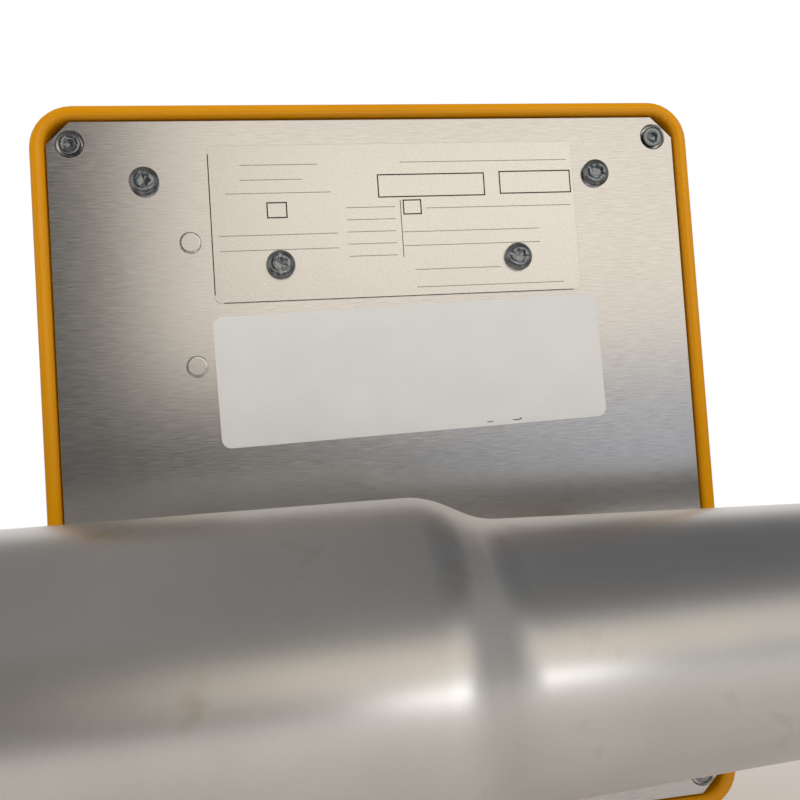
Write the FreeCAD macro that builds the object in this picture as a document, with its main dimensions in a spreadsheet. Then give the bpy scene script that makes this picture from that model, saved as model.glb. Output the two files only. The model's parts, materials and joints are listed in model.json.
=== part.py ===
# Variable-area flow meter with a metal measuring tube. A float on a guide rod is pushed along a conical tube
# against a spring, and a magnet in the float turns a pointer behind the window of a cast hood.
# The origin is the centre of the inlet flange's bolt circle, on the plane where the bolts enter, behind the
# raised sealing face: +X is the flow, +Z is up and the dial faces -Y.

import FreeCAD, Part
import math
import os

import Sketcher
from FreeCAD import Placement, Rotation, Vector

# Driving dimensions in millimetres and degrees.
DRIVING = {
    # measuring tube
    "face_to_face": 400,
    "inlet_radius": 22.15,
    "cone_end_radius": 25.05,
    "outlet_radius": 30.15,
    "tube_wall": 2.6,
    "cone_start": 105,
    "neck_lead": 5.3,
    "neck_lag": 5,
    "neck_round": 16,
    # flanges
    "flange_radius": 82.5,
    "flange_thickness": 20,
    "raised_face_radius": 51,
    "raised_face_height": 3,
    "bolt_circle_radius": 62.5,
    "bolt_hole_radius": 9,
    "bolt_count": 4,
    "weld_leg": 5,
    # guides, rod and float
    "rod_radius": 4,
    "rod_end_thread": 7,
    "rod_nut_height": 4,
    "rod_nut_radius": 7.2,
    "guide_setback": 83,
    "outlet_guide_setback": 103,
    "guide_length": 12,
    "guide_ring_wall": 2.5,
    "guide_hub_radius": 7.5,
    "spoke_width": 3,
    "spoke_count": 3,
    "float_travel": 46,
    "float_nose_radius": 9,
    "float_head_radius": 19.3,
    "float_nose_length": 8,
    "float_land": 2,
    "float_stem_radius": 10,
    "float_stem_length": 44,
    "float_body_radius": 14,
    "float_wall": 2,
    "magnet_length": 20,
    "magnet_bore_radius": 7,
    "float_cap_length": 4,
    "spring_radius": 10.6,
    "spring_wire_radius": 0.9,
    "spring_turns": 9,
    "spring_chords": 12,
    # support pillars between the tube and the back plate
    "axis_to_plate": 68,
    "pillar_radius": 8,
    "pillar_spread": 60,
    "pillar_screw_radius": 3,
    "pillar_screw_depth": 14,
    "pillar_head_radius": 5,
    "pillar_head_height": 4,
    # back plate and hood
    "plate_width": 171,
    "plate_height": 191,
    "plate_bottom": 63.5,
    "plate_thickness": 3,
    "plate_chamfer": 6,
    "plate_gap": 0.4,
    "plate_recess": 1.5,
    "gasket_thickness": 1,
    "gasket_inset": 0.2,
    "rim_wall": 3.6,
    "rim_round": 1.7,
    "ledge_width": 2.4,
    "hood_depth": 80,
    "hood_front_wall": 4,
    "hood_corner_radius": 11,
    "hood_front_round": 6,
    "corner_post_radius": 5.5,
    "corner_screw_inset": 5.8,
    "corner_screw_radius": 1.5,
    "corner_head_radius": 2.75,
    "corner_head_height": 2,
    "counterbore_radius": 3.3,
    "counterbore_depth": 1.8,
    "corner_screw_length": 12,
    # window
    "window_side": 16.5,
    "window_height": 104,
    "window_drop": 17.5,
    "window_corner_radius": 10,
    "window_overlap": 6,
    "window_gasket_thickness": 1,
    "glass_thickness": 4,
    "clamp_thickness": 1.5,
    "clamp_lip": 4,
    "clamp_inset": 1.5,
    "clamp_boss_radius": 3.5,
    "clamp_boss_gap": 1,
    "clamp_boss_spread": 45,
    "clamp_screw_radius": 1.5,
    "clamp_head_radius": 2.8,
    "clamp_head_height": 2,
    # plates stuck on the back
    "nameplate_side": 35.4,
    "nameplate_height": 42,
    "nameplate_offset": 4.8,
    "nameplate_drop": 6.9,
    "nameplate_corner": 2,
    "nameplate_thickness": 0.3,
    "label_side": 32.9,
    "label_height": 34.4,
    "label_offset": 6.7,
    "label_drop": 51.3,
    "label_corner": 2.5,
    "label_thickness": 0.2,
    "label_tilt": 1.2,
    # button-head screws and studs
    "button_radius": 3.8,
    "button_height": 2.5,
    "button_top_radius": 2.3,
    "button_rim": 0.9,
    "button_shank_radius": 2,
    "button_length": 12,
    "chassis_screw_spread": 32.5,
    "chassis_screw_drop": 39.2,
    "stud_inset": 34.8,
    "stud_drop": 32.5,
    "stud_pitch": 32.5,
    "stud_head_radius": 2.85,
    "stud_head_height": 0.6,
    "stud_radius": 2,
    "stud_nut_radius": 4,
    "stud_nut_height": 3,
    # dial
    "dial_side": 13.5,
    "dial_top_margin": 8.5,
    "dial_bottom_margin": 11.5,
    "dial_corner": 5,
    "dial_thickness": 1,
    "dial_window_gap": 7,
    "dial_post_radius": 4.5,
    "dial_post_inset": 24,
    "dial_post_drop": 16.2,
    "dial_post_rise": 18.5,
    "dial_rivet_radius": 2,
    "dial_rivet_height": 0.5,
    # pointer mechanism
    "pivot_drop": 27,
    "pointer_sweep": 80,
    "shaft_radius": 2,
    "shaft_recess": 0.7,
    "chassis_half_width": 33,
    "chassis_sheet": 2,
    "chassis_depth": 31,
    "chassis_ear": 14,
    "chassis_top_margin": 29.5,
    "chassis_bottom_margin": 3.5,
    "bearing_radius": 4,
    "bearing_flange_radius": 7,
    "bearing_flange": 2,
    "bearing_boss": 4,
    "arm_depth": 8,
    "arm_thickness": 3,
    "arm_width": 6,
    "arm_hub_radius": 5,
    "follower_radius": 5,
    "follower_length": 8,
    "follower_rim": 2,
    "counterweight_radius": 6,
    "counterweight_reach": 13,
    "counterweight_length": 5.5,
    "disc_depth": 19,
    "disc_radius": 28,
    "disc_thickness": 1,
    "disc_hub_radius": 4.5,
    "disc_hub_length": 3.5,
    "damper_width": 16,
    "damper_reach": 21,
    "damper_back": 3,
    "damper_air_gap": 0.8,
    "damper_pole": 4.5,
    "pointer_gap": 3,
    "pointer_thickness": 1,
    "pointer_length": 96,
    "pointer_tail": 22,
    "pointer_root_width": 6,
    "pointer_tip_width": 1.2,
    "pointer_hub_radius": 6,
    "pointer_hub_length": 4,
    # limit detector and its vane
    "vane_depth": 37,
    "vane_thickness": 1,
    "vane_radius": 24,
    "vane_lead": 5,
    "vane_lag": 45,
    "vane_hub_radius": 4.5,
    "vane_hub_length": 4,
    "detector_width": 10,
    "detector_reach": 16,
    "detector_air_gap": 1,
    "detector_back": 6,
    "detector_jaw": 4,
    # terminals and cable gland
    "terminal_width": 16,
    "terminal_height": 54,
    "terminal_depth": 22,
    "terminal_foot": 5,
    "terminal_way_width": 6,
    "terminal_way_depth": 9,
    "terminal_pitch": 7,
    "gland_offset": 47,
    "gland_depth": 114,
    "gland_thread_radius": 10,
    "gland_thread_length": 13,
    "gland_hex_radius": 13,
    "gland_hex_height": 7,
    "gland_cap_radius": 11.5,
    "gland_cap_height": 15,
    "gland_neck_radius": 10,
    "gland_neck_height": 6,
    "gland_mouth_radius": 8.5,
    "gland_bore_radius": 5,
    "gland_lip": 2,
    "locknut_radius": 13.5,
    "locknut_height": 4.5,
    # clearances
    "slip_gap": 0.1,
    "running_gap": 0.08,
    "seat_gap": 0.3,
}

doc = FreeCAD.newDocument("FlowMeter")
sheet = doc.addObject("Spreadsheet::Sheet", "Sizes")
for row, (alias, number) in enumerate(DRIVING.items(), start=1):
    sheet.set("A%d" % row, alias.replace("_", " "))
    sheet.set("B%d" % row, str(number))
    sheet.setAlias("B%d" % row, alias)
doc.recompute()


class Size:
    """A dimension that carries both its number and its spreadsheet formula."""

    def __init__(self, number, formula):
        self.number = number
        self.formula = formula

    def __add__(self, other):
        other = as_size(other)
        return Size(self.number + other.number, "(%s + %s)" % (self.formula, other.formula))

    def __sub__(self, other):
        other = as_size(other)
        return Size(self.number - other.number, "(%s - %s)" % (self.formula, other.formula))

    def __mul__(self, factor):
        return Size(self.number * factor, "(%s * %r)" % (self.formula, factor))

    def __truediv__(self, divisor):
        return Size(self.number / divisor, "(%s / %r)" % (self.formula, divisor))

    def __neg__(self):
        return Size(-self.number, "(0 - %s)" % self.formula)


def as_size(value):
    return value if isinstance(value, Size) else Size(value, repr(value))


class Dimensions:
    """The sheet's aliases as attributes."""


d = Dimensions()
for alias in DRIVING:
    setattr(d, alias, Size(float(sheet.get(alias)), "Sizes." + alias))

NOTHING = as_size(0)
UNTURNED = Rotation()
# Seen from the back: local X is X, local Y is up, and local Z is the depth towards the dial.
TOWARDS_DIAL = Rotation(Vector(1, 0, 0), 90)
AWAY_FROM_DIAL = Rotation(Vector(1, 0, 0), -90)
AGAINST_FLOW = Rotation(Vector(0, 0, 1), 180)
nodes = []


def bind(thing, name, size):
    thing.setExpression(name, as_size(size).formula)


def place(thing, at, rotation=UNTURNED):
    """Puts a piece at a point whose X is measured from the inlet sealing face, ahead of the origin."""
    along, across, height = at
    point = (along - d.raised_face_height, across, height)
    thing.Placement = Placement(Vector(*[c.number for c in point]), rotation)
    for axis, coordinate in zip("xyz", point):
        bind(thing, "Placement.Base." + axis, coordinate)


def keep(thing, label):
    thing.Label = label
    nodes.append(thing)
    return thing


def new_body(label, at=(NOTHING, NOTHING, NOTHING), rotation=UNTURNED):
    body = doc.addObject("PartDesign::Body", "Body")
    place(body, at, rotation)
    return keep(body, label)


def facing(label, depth, across=NOTHING, height=NOTHING):
    """A body whose sketches lie square to the dial, at a depth from the tube axis."""
    return new_body(label, (across, -depth, height), TOWARDS_DIAL)


def sketch_on(body, role, lift=None):
    sketch = body.newObject("Sketcher::SketchObject", "Sketch")
    plane = next(f for f in body.Origin.OriginFeatures if f.Role == role)
    sketch.AttachmentSupport = [(plane, "")]
    sketch.MapMode = "FlatFace"
    if lift is not None:
        sketch.AttachmentOffset = Placement(Vector(0, 0, lift.number), UNTURNED)
        bind(sketch, "AttachmentOffset.Base.z", lift)
    return sketch


def dimension(sketch, kind, refs, size):
    index = sketch.addConstraint(Sketcher.Constraint(kind, *refs, size.number))
    sketch.setExpression("Constraints[%d]" % index, size.formula)


def pin(sketch, geometry, point, u, v):
    """Ties a point of the sketch to its place from the sketch origin."""
    dimension(sketch, "DistanceX", (-1, 1, geometry, point), as_size(u))
    dimension(sketch, "DistanceY", (-1, 1, geometry, point), as_size(v))


def draw_polygon(sketch, points):
    corners = [Vector(as_size(u).number, as_size(v).number, 0) for u, v in points]
    first = sketch.GeometryCount
    count = len(corners)
    for i in range(count):
        sketch.addGeometry(Part.LineSegment(corners[i], corners[(i + 1) % count]), False)
    for i in range(count):
        sketch.addConstraint(Sketcher.Constraint("Coincident", first + i, 2, first + (i + 1) % count, 1))
    for i, (u, v) in enumerate(points):
        pin(sketch, first + i, 1, u, v)


def draw_box(sketch, u, v, width, height):
    left, right = u - width / 2, u + width / 2
    bottom, top = v - height / 2, v + height / 2
    draw_polygon(sketch, [(left, bottom), (right, bottom), (right, top), (left, top)])


def draw_hexagon(sketch, radius):
    turns = [step * math.pi / 3 for step in range(6)]
    draw_polygon(sketch, [(radius * math.cos(turn), radius * math.sin(turn)) for turn in turns])


def draw_outline(sketch, points, rounds):
    """A polygon whose corners named in rounds, by number, are tangent arcs of the given radius."""
    corners = [Vector(as_size(u).number, as_size(v).number, 0) for u, v in points]
    count = len(corners)
    trims = []
    for i, corner in enumerate(corners):
        before, after = corners[i - 1] - corner, corners[(i + 1) % count] - corner
        trim = rounds[i].number / math.tan(before.getAngle(after) / 2) if i in rounds else 0
        trims.append((corner + before.normalize() * trim, corner + after.normalize() * trim))
    for i in range(count):
        sketch.addGeometry(Part.LineSegment(trims[i][1], trims[(i + 1) % count][0]), False)
    for i, (u, v) in enumerate(points):
        incoming = (i - 1) % count
        if i not in rounds:
            sketch.addConstraint(Sketcher.Constraint("Coincident", incoming, 2, i, 1))
            pin(sketch, i, 1, u, v)
            continue
        start, end = trims[i]
        inward = ((start + end) * 0.5 - corners[i]).normalize()
        reach = math.hypot(rounds[i].number, (start - corners[i]).Length)
        nearest = corners[i] + inward * (reach - rounds[i].number)
        arc = sketch.addGeometry(Part.Arc(start, nearest, end), False)
        mark = sketch.addGeometry(Part.Point(corners[i]), True)
        pin(sketch, mark, 1, u, v)
        sketch.addConstraint(Sketcher.Constraint("PointOnObject", mark, 1, incoming))
        sketch.addConstraint(Sketcher.Constraint("PointOnObject", mark, 1, i))
        runs_forward = (sketch.getPoint(arc, 1) - start).Length < (sketch.getPoint(arc, 1) - end).Length
        sketch.addConstraint(Sketcher.Constraint("Tangent", incoming, 2, arc, 1 if runs_forward else 2))
        sketch.addConstraint(Sketcher.Constraint("Tangent", arc, 2 if runs_forward else 1, i, 1))
        dimension(sketch, "Radius", (arc,), rounds[i])


def draw_circle(sketch, u, v, radius):
    centre = Vector(as_size(u).number, as_size(v).number, 0)
    circle = sketch.addGeometry(Part.Circle(centre, Vector(0, 0, 1), radius.number), False)
    pin(sketch, circle, 3, u, v)
    dimension(sketch, "Radius", (circle,), radius)


def draw_rounded(sketch, u, v, width, height, radius):
    """A rectangle with round corners: four sides, joined by tangent arcs."""
    left, right = u - width / 2, u + width / 2
    bottom, top = v - height / 2, v + height / 2
    r = radius.number
    x0, x1, y0, y1 = left.number, right.number, bottom.number, top.number
    first = sketch.GeometryCount
    sides = [((x0 + r, y0), (x1 - r, y0)), ((x1, y0 + r), (x1, y1 - r)),
             ((x1 - r, y1), (x0 + r, y1)), ((x0, y1 - r), (x0, y0 + r))]
    hubs = [(x1 - r, y0 + r), (x1 - r, y1 - r), (x0 + r, y1 - r), (x0 + r, y0 + r)]
    for start, end in sides:
        sketch.addGeometry(Part.LineSegment(Vector(*start, 0), Vector(*end, 0)), False)
    for i, hub in enumerate(hubs):
        circle = Part.Circle(Vector(*hub, 0), Vector(0, 0, 1), r)
        start = (i - 1) * math.pi / 2
        sketch.addGeometry(Part.ArcOfCircle(circle, start, start + math.pi / 2), False)
    for i in range(4):
        side, arc, following = first + i, first + 4 + i, first + (i + 1) % 4
        sketch.addConstraint(Sketcher.Constraint("Tangent", side, 2, arc, 1))
        sketch.addConstraint(Sketcher.Constraint("Tangent", arc, 2, following, 1))
        sketch.addConstraint(Sketcher.Constraint("Horizontal" if i % 2 == 0 else "Vertical", side))
        if i > 0:
            sketch.addConstraint(Sketcher.Constraint("Equal", first + 4, arc))
    dimension(sketch, "Radius", (first + 4,), radius)
    dimension(sketch, "DistanceY", (-1, 1, first, 1), bottom)
    dimension(sketch, "DistanceX", (-1, 1, first + 1, 1), right)
    dimension(sketch, "DistanceY", (-1, 1, first + 2, 1), top)
    dimension(sketch, "DistanceX", (-1, 1, first + 3, 1), left)


def pad(body, sketch, length, back=False):
    feature = body.newObject("PartDesign::Pad", "Pad")
    feature.Profile = sketch
    feature.Reversed = back
    bind(feature, "Length", length)
    return feature


def pocket(body, sketch, length, forward=True):
    """Cuts along the sketch normal, or against it when forward is False, and makes sure that it cuts."""
    doc.recompute()
    before = body.Shape.Volume
    feature = body.newObject("PartDesign::Pocket", "Pocket")
    feature.Profile = sketch
    feature.Reversed = forward
    bind(feature, "Length", length)
    doc.recompute()
    if body.Shape.Volume >= before:
        raise RuntimeError("a pocket of %s cuts nothing" % body.Label)
    return feature


def revolve(body, sketch, axis):
    feature = body.newObject("PartDesign::Revolution", "Revolution")
    feature.Profile = sketch
    feature.ReferenceAxis = (sketch, [axis])
    feature.Angle = 360
    return feature


def polar(body, original, count):
    feature = body.newObject("PartDesign::PolarPattern", "Pattern")
    feature.Originals = [original]
    feature.Axis = (original.Profile[0], ["N_Axis"])
    feature.Angle = 360
    bind(feature, "Occurrences", count)
    body.Tip = feature
    return feature


def soften(body, radius, chosen):
    """Rounds the edges of the body that the chosen test picks."""
    doc.recompute()
    base = body.Tip
    names = ["Edge%d" % (i + 1) for i, edge in enumerate(base.Shape.Edges) if chosen(edge)]
    feature = body.newObject("PartDesign::Fillet", "Rounding")
    feature.Base = (base, names)
    bind(feature, "Radius", radius)
    return feature


def level(edge, axis, height):
    """True for an edge that lies wholly at one height along an axis."""
    box = edge.BoundBox
    low = {"x": box.XMin, "y": box.YMin, "z": box.ZMin}[axis]
    high = {"x": box.XMax, "y": box.YMax, "z": box.ZMax}[axis]
    return abs(low - height.number) < 1e-4 and abs(high - height.number) < 1e-4


def turned_on_flow(label, profile, start=NOTHING, rotation=UNTURNED):
    """A piece turned about the tube axis from (distance, radius) points."""
    body = new_body(label, (start, NOTHING, NOTHING), rotation)
    sketch = sketch_on(body, "XY_Plane")
    draw_polygon(sketch, profile)
    revolve(body, sketch, "H_Axis")
    return body


def turned_to_dial(label, across, depth, height, profile):
    """A piece turned about an axis square to the dial from (radius, depth) points."""
    body = facing(label, depth, across, height)
    sketch = sketch_on(body, "XZ_Plane")
    draw_polygon(sketch, profile)
    revolve(body, sketch, "V_Axis")
    return body


def hexagon_screw(label, across, depth, height, head_radius, head_height, shank_radius, length, rotation):
    """A screw with a hexagon head on a seat at a depth, its shank along the rotation's own Z."""
    body = new_body(label, (across, -depth, height), rotation)
    head = sketch_on(body, "XY_Plane")
    draw_hexagon(head, head_radius)
    pad(body, head, head_height, back=True)
    shank = sketch_on(body, "XY_Plane")
    draw_circle(shank, NOTHING, NOTHING, shank_radius)
    pad(body, shank, length)
    return body


def group(label, members):
    """Joins small like pieces into one sub-part."""
    compound = doc.addObject("Part::Compound", "Group")
    compound.Links = members
    for member in members:
        nodes.remove(member)
    keep(compound, label)


def cap_screw_profile(head_radius, head_height, shank_radius, length):
    return [(NOTHING, -head_height), (head_radius, -head_height), (head_radius, NOTHING),
            (shank_radius, NOTHING), (shank_radius, length), (NOTHING, length)]


# Places that several pieces share.
middle = d.face_to_face / 2
bottom_of_plate = -d.plate_bottom
top_of_plate = d.plate_height - d.plate_bottom
plate_centre = top_of_plate - d.plate_height / 2
plate_inside = d.axis_to_plate + d.plate_thickness
rim_depth = d.axis_to_plate - d.plate_recess
ledge_depth = plate_inside + d.gasket_thickness
front_depth = rim_depth + d.hood_depth
front_wall_inside = front_depth - d.hood_front_wall
seat_width = d.plate_width + d.plate_gap * 2
seat_height = d.plate_height + d.plate_gap * 2
cavity_width = seat_width - d.ledge_width * 2
cavity_height = seat_height - d.ledge_width * 2
hood_bottom = bottom_of_plate - d.plate_gap - d.rim_wall
cavity_bottom = bottom_of_plate - d.plate_gap + d.ledge_width
cavity_top = top_of_plate + d.plate_gap - d.ledge_width
pivot_height = -d.pivot_drop


# Measuring tube and flanges.
def tube_outline(offset):
    """The outside of the tube along the flow, grown by an offset: inlet, cone, neck and outlet."""
    return [(NOTHING, d.inlet_radius + offset),
            (d.cone_start, d.inlet_radius + offset),
            (middle - d.neck_lead, d.cone_end_radius + offset),
            (middle + d.neck_lag, d.outlet_radius + offset),
            (d.face_to_face, d.outlet_radius + offset)]


def measuring_tube():
    body = new_body("metering_tube")
    sketch = sketch_on(body, "XY_Plane")
    outside, inside = tube_outline(NOTHING), tube_outline(-d.tube_wall)
    neck_start, neck_end, last = 2, 3, len(outside) * 2 - 1
    draw_outline(sketch, outside + inside[::-1], {
        neck_start: d.neck_round, neck_end: d.neck_round,
        last - neck_start: d.neck_round, last - neck_end: d.neck_round})
    revolve(body, sketch, "H_Axis")


def flange(label, tube_radius, start, rotation):
    """A slip-on flange with a raised face, its weld and its bolt holes, straddling the centre lines."""
    bore = tube_radius + d.slip_gap
    body = turned_on_flow(label, [
        (NOTHING, bore), (NOTHING, d.raised_face_radius), (d.raised_face_height, d.raised_face_radius),
        (d.raised_face_height, d.flange_radius), (d.flange_thickness, d.flange_radius),
        (d.flange_thickness, bore + d.weld_leg), (d.flange_thickness + d.weld_leg, bore)], start, rotation)
    sketch = sketch_on(body, "YZ_Plane")
    diagonal = d.bolt_circle_radius * math.sqrt(0.5)
    draw_circle(sketch, diagonal, diagonal, d.bolt_hole_radius)
    hole = pocket(body, sketch, d.flange_thickness)
    polar(body, hole, d.bolt_count)


# Guide rod, its two spiders, the float and the spring.
inlet_bore = d.inlet_radius - d.tube_wall
outlet_bore = d.outlet_radius - d.tube_wall
outlet_guide_start = d.face_to_face - d.outlet_guide_setback - d.guide_length
magnet_rest = middle - d.float_travel / 2
float_stem_start = d.float_nose_length + d.float_land
float_stem_end = float_stem_start + d.float_stem_length
magnet_start = float_stem_end + d.float_wall * 2
float_length = magnet_start + d.magnet_length + d.float_cap_length
float_start = magnet_rest - d.magnet_length / 2 - magnet_start
float_end = float_start + float_length
rod_bore = d.rod_radius + d.running_gap


def guide(label, start, tube_bore, hub_from, hub_to):
    """A spider that centres the rod: a hub, three spokes and a ring that slips into the tube."""
    body = new_body(label, (start, NOTHING, NOTHING))
    hub = sketch_on(body, "XY_Plane")
    draw_polygon(hub, [(hub_from, rod_bore), (hub_to, rod_bore),
                       (hub_to, d.guide_hub_radius), (hub_from, d.guide_hub_radius)])
    revolve(body, hub, "H_Axis")
    ring_outside = tube_bore - d.slip_gap
    ring_inside = ring_outside - d.guide_ring_wall
    spoke = sketch_on(body, "YZ_Plane")
    hub_middle = (d.guide_hub_radius + rod_bore) / 2
    ring_middle = (ring_outside + ring_inside) / 2
    draw_polygon(spoke, [(-d.spoke_width / 2, -ring_middle), (d.spoke_width / 2, -ring_middle),
                         (d.spoke_width / 2, -hub_middle), (-d.spoke_width / 2, -hub_middle)])
    first = pad(body, spoke, d.guide_length)
    polar(body, first, d.spoke_count)
    ring = sketch_on(body, "XY_Plane")
    draw_polygon(ring, [(NOTHING, ring_inside), (d.guide_length, ring_inside),
                        (d.guide_length, ring_outside), (NOTHING, ring_outside)])
    revolve(body, ring, "H_Axis")


def rod_nut(label, start):
    """A hexagon nut on the end of the rod."""
    body = new_body(label, (start, NOTHING, NOTHING))
    sketch = sketch_on(body, "YZ_Plane")
    draw_hexagon(sketch, d.rod_nut_radius)
    draw_circle(sketch, NOTHING, NOTHING, rod_bore)
    pad(body, sketch, d.rod_nut_height)


def rod_and_guides():
    hub_rest = float_start - d.seat_gap - d.guide_setback
    guide("inlet_guide", d.guide_setback, inlet_bore, NOTHING, hub_rest)
    stop = float_end + d.float_travel + d.seat_gap - outlet_guide_start
    guide("outlet_guide", outlet_guide_start, outlet_bore, stop, d.guide_length)
    rod_start = d.guide_setback - d.rod_end_thread
    rod_end = outlet_guide_start + d.guide_length + d.rod_end_thread
    turned_on_flow("guide_rod", [(rod_start, NOTHING), (rod_end, NOTHING),
                                 (rod_end, d.rod_radius), (rod_start, d.rod_radius)])
    rod_nut("inlet_rod_nut", d.guide_setback - d.rod_nut_height)
    rod_nut("outlet_rod_nut", outlet_guide_start + d.guide_length)


def float_pieces():
    """The float with its ring magnet in a pocket, closed by a cap."""
    pocket_inside = d.magnet_bore_radius - d.slip_gap
    pocket_outside = d.float_body_radius - d.float_wall
    turned_on_flow("float", [
        (NOTHING, rod_bore), (NOTHING, d.float_nose_radius), (d.float_nose_length, d.float_head_radius),
        (float_stem_start, d.float_head_radius), (float_stem_start, d.float_stem_radius),
        (float_stem_end, d.float_stem_radius), (float_stem_end, d.float_body_radius),
        (float_length, d.float_body_radius),
        (float_length, pocket_outside), (magnet_start, pocket_outside), (magnet_start, pocket_inside),
        (float_length, pocket_inside), (float_length, rod_bore)], float_start)
    ring_outside = pocket_outside - d.slip_gap

    def ring(label, start, length):
        turned_on_flow(label, [(NOTHING, d.magnet_bore_radius), (length, d.magnet_bore_radius),
                               (length, ring_outside), (NOTHING, ring_outside)], float_start + start)

    ring("float_magnet", magnet_start, d.magnet_length)
    ring("float_cap", magnet_start + d.magnet_length, d.float_cap_length)


def return_spring():
    """A coil between the float and the outlet spider, in short chords of a hexagonal wire."""
    start = float_end.number + d.seat_gap.number + d.spring_wire_radius.number
    length = outlet_guide_start.number - d.seat_gap.number - d.spring_wire_radius.number - start
    chords = round(d.spring_turns.number * d.spring_chords.number)
    turn = 2 * math.pi * d.spring_turns.number / chords
    radius = d.spring_radius.number
    path = [Vector(length * i / chords, radius * math.cos(turn * i), radius * math.sin(turn * i))
            for i in range(chords + 1)]
    rim = Part.Circle(path[0], path[1] - path[0], d.spring_wire_radius.number)
    section = [rim.value(step * math.pi / 3) for step in range(7)]
    coil = doc.addObject("Part::Feature", "Spring")
    coil.Shape = Part.makePolygon(path).makePipeShell([Part.makePolygon(section)], True, False, 1)
    coil.Placement = Placement(Vector(start - d.raised_face_height.number, 0, 0), UNTURNED)
    keep(coil, "return_spring")


# Pillars that carry the indicator on the tube.
pillar_places = (("inlet_pillar", middle - d.pillar_spread), ("outlet_pillar", middle + d.pillar_spread))


def pillars():
    tube_body = doc.addObject("PartDesign::Body", "TubeEnvelope")
    place(tube_body, (NOTHING, NOTHING, NOTHING))
    sketch = sketch_on(tube_body, "XY_Plane")
    outline = tube_outline(d.slip_gap)
    draw_polygon(sketch, outline + [(d.face_to_face, NOTHING), (NOTHING, NOTHING)])
    revolve(tube_body, sketch, "H_Axis")
    for label, across in pillar_places:
        bar = doc.addObject("Part::Cylinder", "PillarBar")
        bind(bar, "Radius", d.pillar_radius)
        bind(bar, "Height", d.axis_to_plate)
        place(bar, (across, NOTHING, NOTHING), TOWARDS_DIAL)
        saddle = doc.addObject("Part::Cut", "PillarSaddle")
        saddle.Base = bar
        saddle.Tool = tube_body
        drill = doc.addObject("Part::Cylinder", "PillarDrill")
        bind(drill, "Radius", d.pillar_screw_radius + d.slip_gap)
        bind(drill, "Height", d.pillar_screw_depth)
        place(drill, (across, d.pillar_screw_depth - d.axis_to_plate, NOTHING), TOWARDS_DIAL)
        pillar = doc.addObject("Part::Cut", "Pillar")
        pillar.Base = saddle
        pillar.Tool = drill
        keep(pillar, label)
        hexagon_screw(label + "_screw", across, plate_inside, NOTHING, d.pillar_head_radius,
                      d.pillar_head_height, d.pillar_screw_radius,
                      d.plate_thickness + d.pillar_screw_depth - d.seat_gap, AWAY_FROM_DIAL)


# Hood, back plate and gasket.
corner_reach = d.plate_width / 2 - d.corner_screw_inset
corner_rise = d.plate_height / 2 - d.corner_screw_inset
corner_places = [(middle + corner_reach * sx, plate_centre + corner_rise * sz)
                 for sz in (1, -1) for sx in (-1, 1)]
window_width = d.plate_width - d.window_side * 2
window_middle = top_of_plate - d.window_drop - d.window_height / 2
glass_width = window_width + d.window_overlap * 2
glass_height = d.window_height + d.window_overlap * 2
clamp_boss_rise = glass_height / 2 + d.clamp_boss_radius + d.clamp_boss_gap
clamp_places = [(middle + d.clamp_boss_spread * sx, window_middle + clamp_boss_rise * sz)
                for sz in (1, -1) for sx in (-1, 1)]
window_stack = d.window_gasket_thickness + d.glass_thickness
gland_across = middle + d.gland_offset


def hood():
    """A cast box, open at the back for the plate and at the front for the window."""
    body = facing("housing", rim_depth)
    outside = sketch_on(body, "XY_Plane")
    draw_rounded(outside, middle, plate_centre, seat_width + d.rim_wall * 2, seat_height + d.rim_wall * 2,
                 d.hood_corner_radius)
    pad(body, outside, d.hood_depth)
    seat_corner = d.hood_corner_radius - d.rim_wall
    seat = sketch_on(body, "XY_Plane")
    draw_rounded(seat, middle, plate_centre, seat_width, seat_height, seat_corner)
    pocket(body, seat, ledge_depth - rim_depth)
    cavity = sketch_on(body, "XY_Plane")
    draw_rounded(cavity, middle, plate_centre, cavity_width, cavity_height, seat_corner - d.ledge_width)
    pocket(body, cavity, front_wall_inside - rim_depth)
    soften(body, d.hood_front_round, lambda edge: level(edge, "z", d.hood_depth))
    posts = sketch_on(body, "XY_Plane", ledge_depth - rim_depth)
    for across, height in corner_places:
        draw_circle(posts, across, height, d.corner_post_radius)
    pad(body, posts, front_wall_inside - ledge_depth)
    bosses = sketch_on(body, "XY_Plane", front_wall_inside - window_stack - rim_depth)
    for across, height in clamp_places:
        draw_circle(bosses, across, height, d.clamp_boss_radius)
    pad(body, bosses, window_stack)
    corner_holes = sketch_on(body, "XY_Plane", ledge_depth - rim_depth)
    for across, height in corner_places:
        draw_circle(corner_holes, across, height, d.corner_screw_radius + d.slip_gap)
    pocket(body, corner_holes, d.corner_screw_length)
    clamp_holes = sketch_on(body, "XY_Plane", front_wall_inside - window_stack - rim_depth)
    for across, height in clamp_places:
        draw_circle(clamp_holes, across, height, d.clamp_screw_radius + d.slip_gap)
    pocket(body, clamp_holes, window_stack)
    opening = sketch_on(body, "XY_Plane", front_wall_inside - rim_depth)
    draw_rounded(opening, middle, window_middle, window_width, d.window_height, d.window_corner_radius)
    pocket(body, opening, d.hood_front_wall)
    inlet = sketch_on(body, "XZ_Plane")
    draw_circle(inlet, gland_across, d.gland_depth - rim_depth, d.gland_thread_radius + d.seat_gap)
    pocket(body, inlet, -hood_bottom)
    soften(body, d.rim_round, lambda edge: level(edge, "z", NOTHING))


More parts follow.
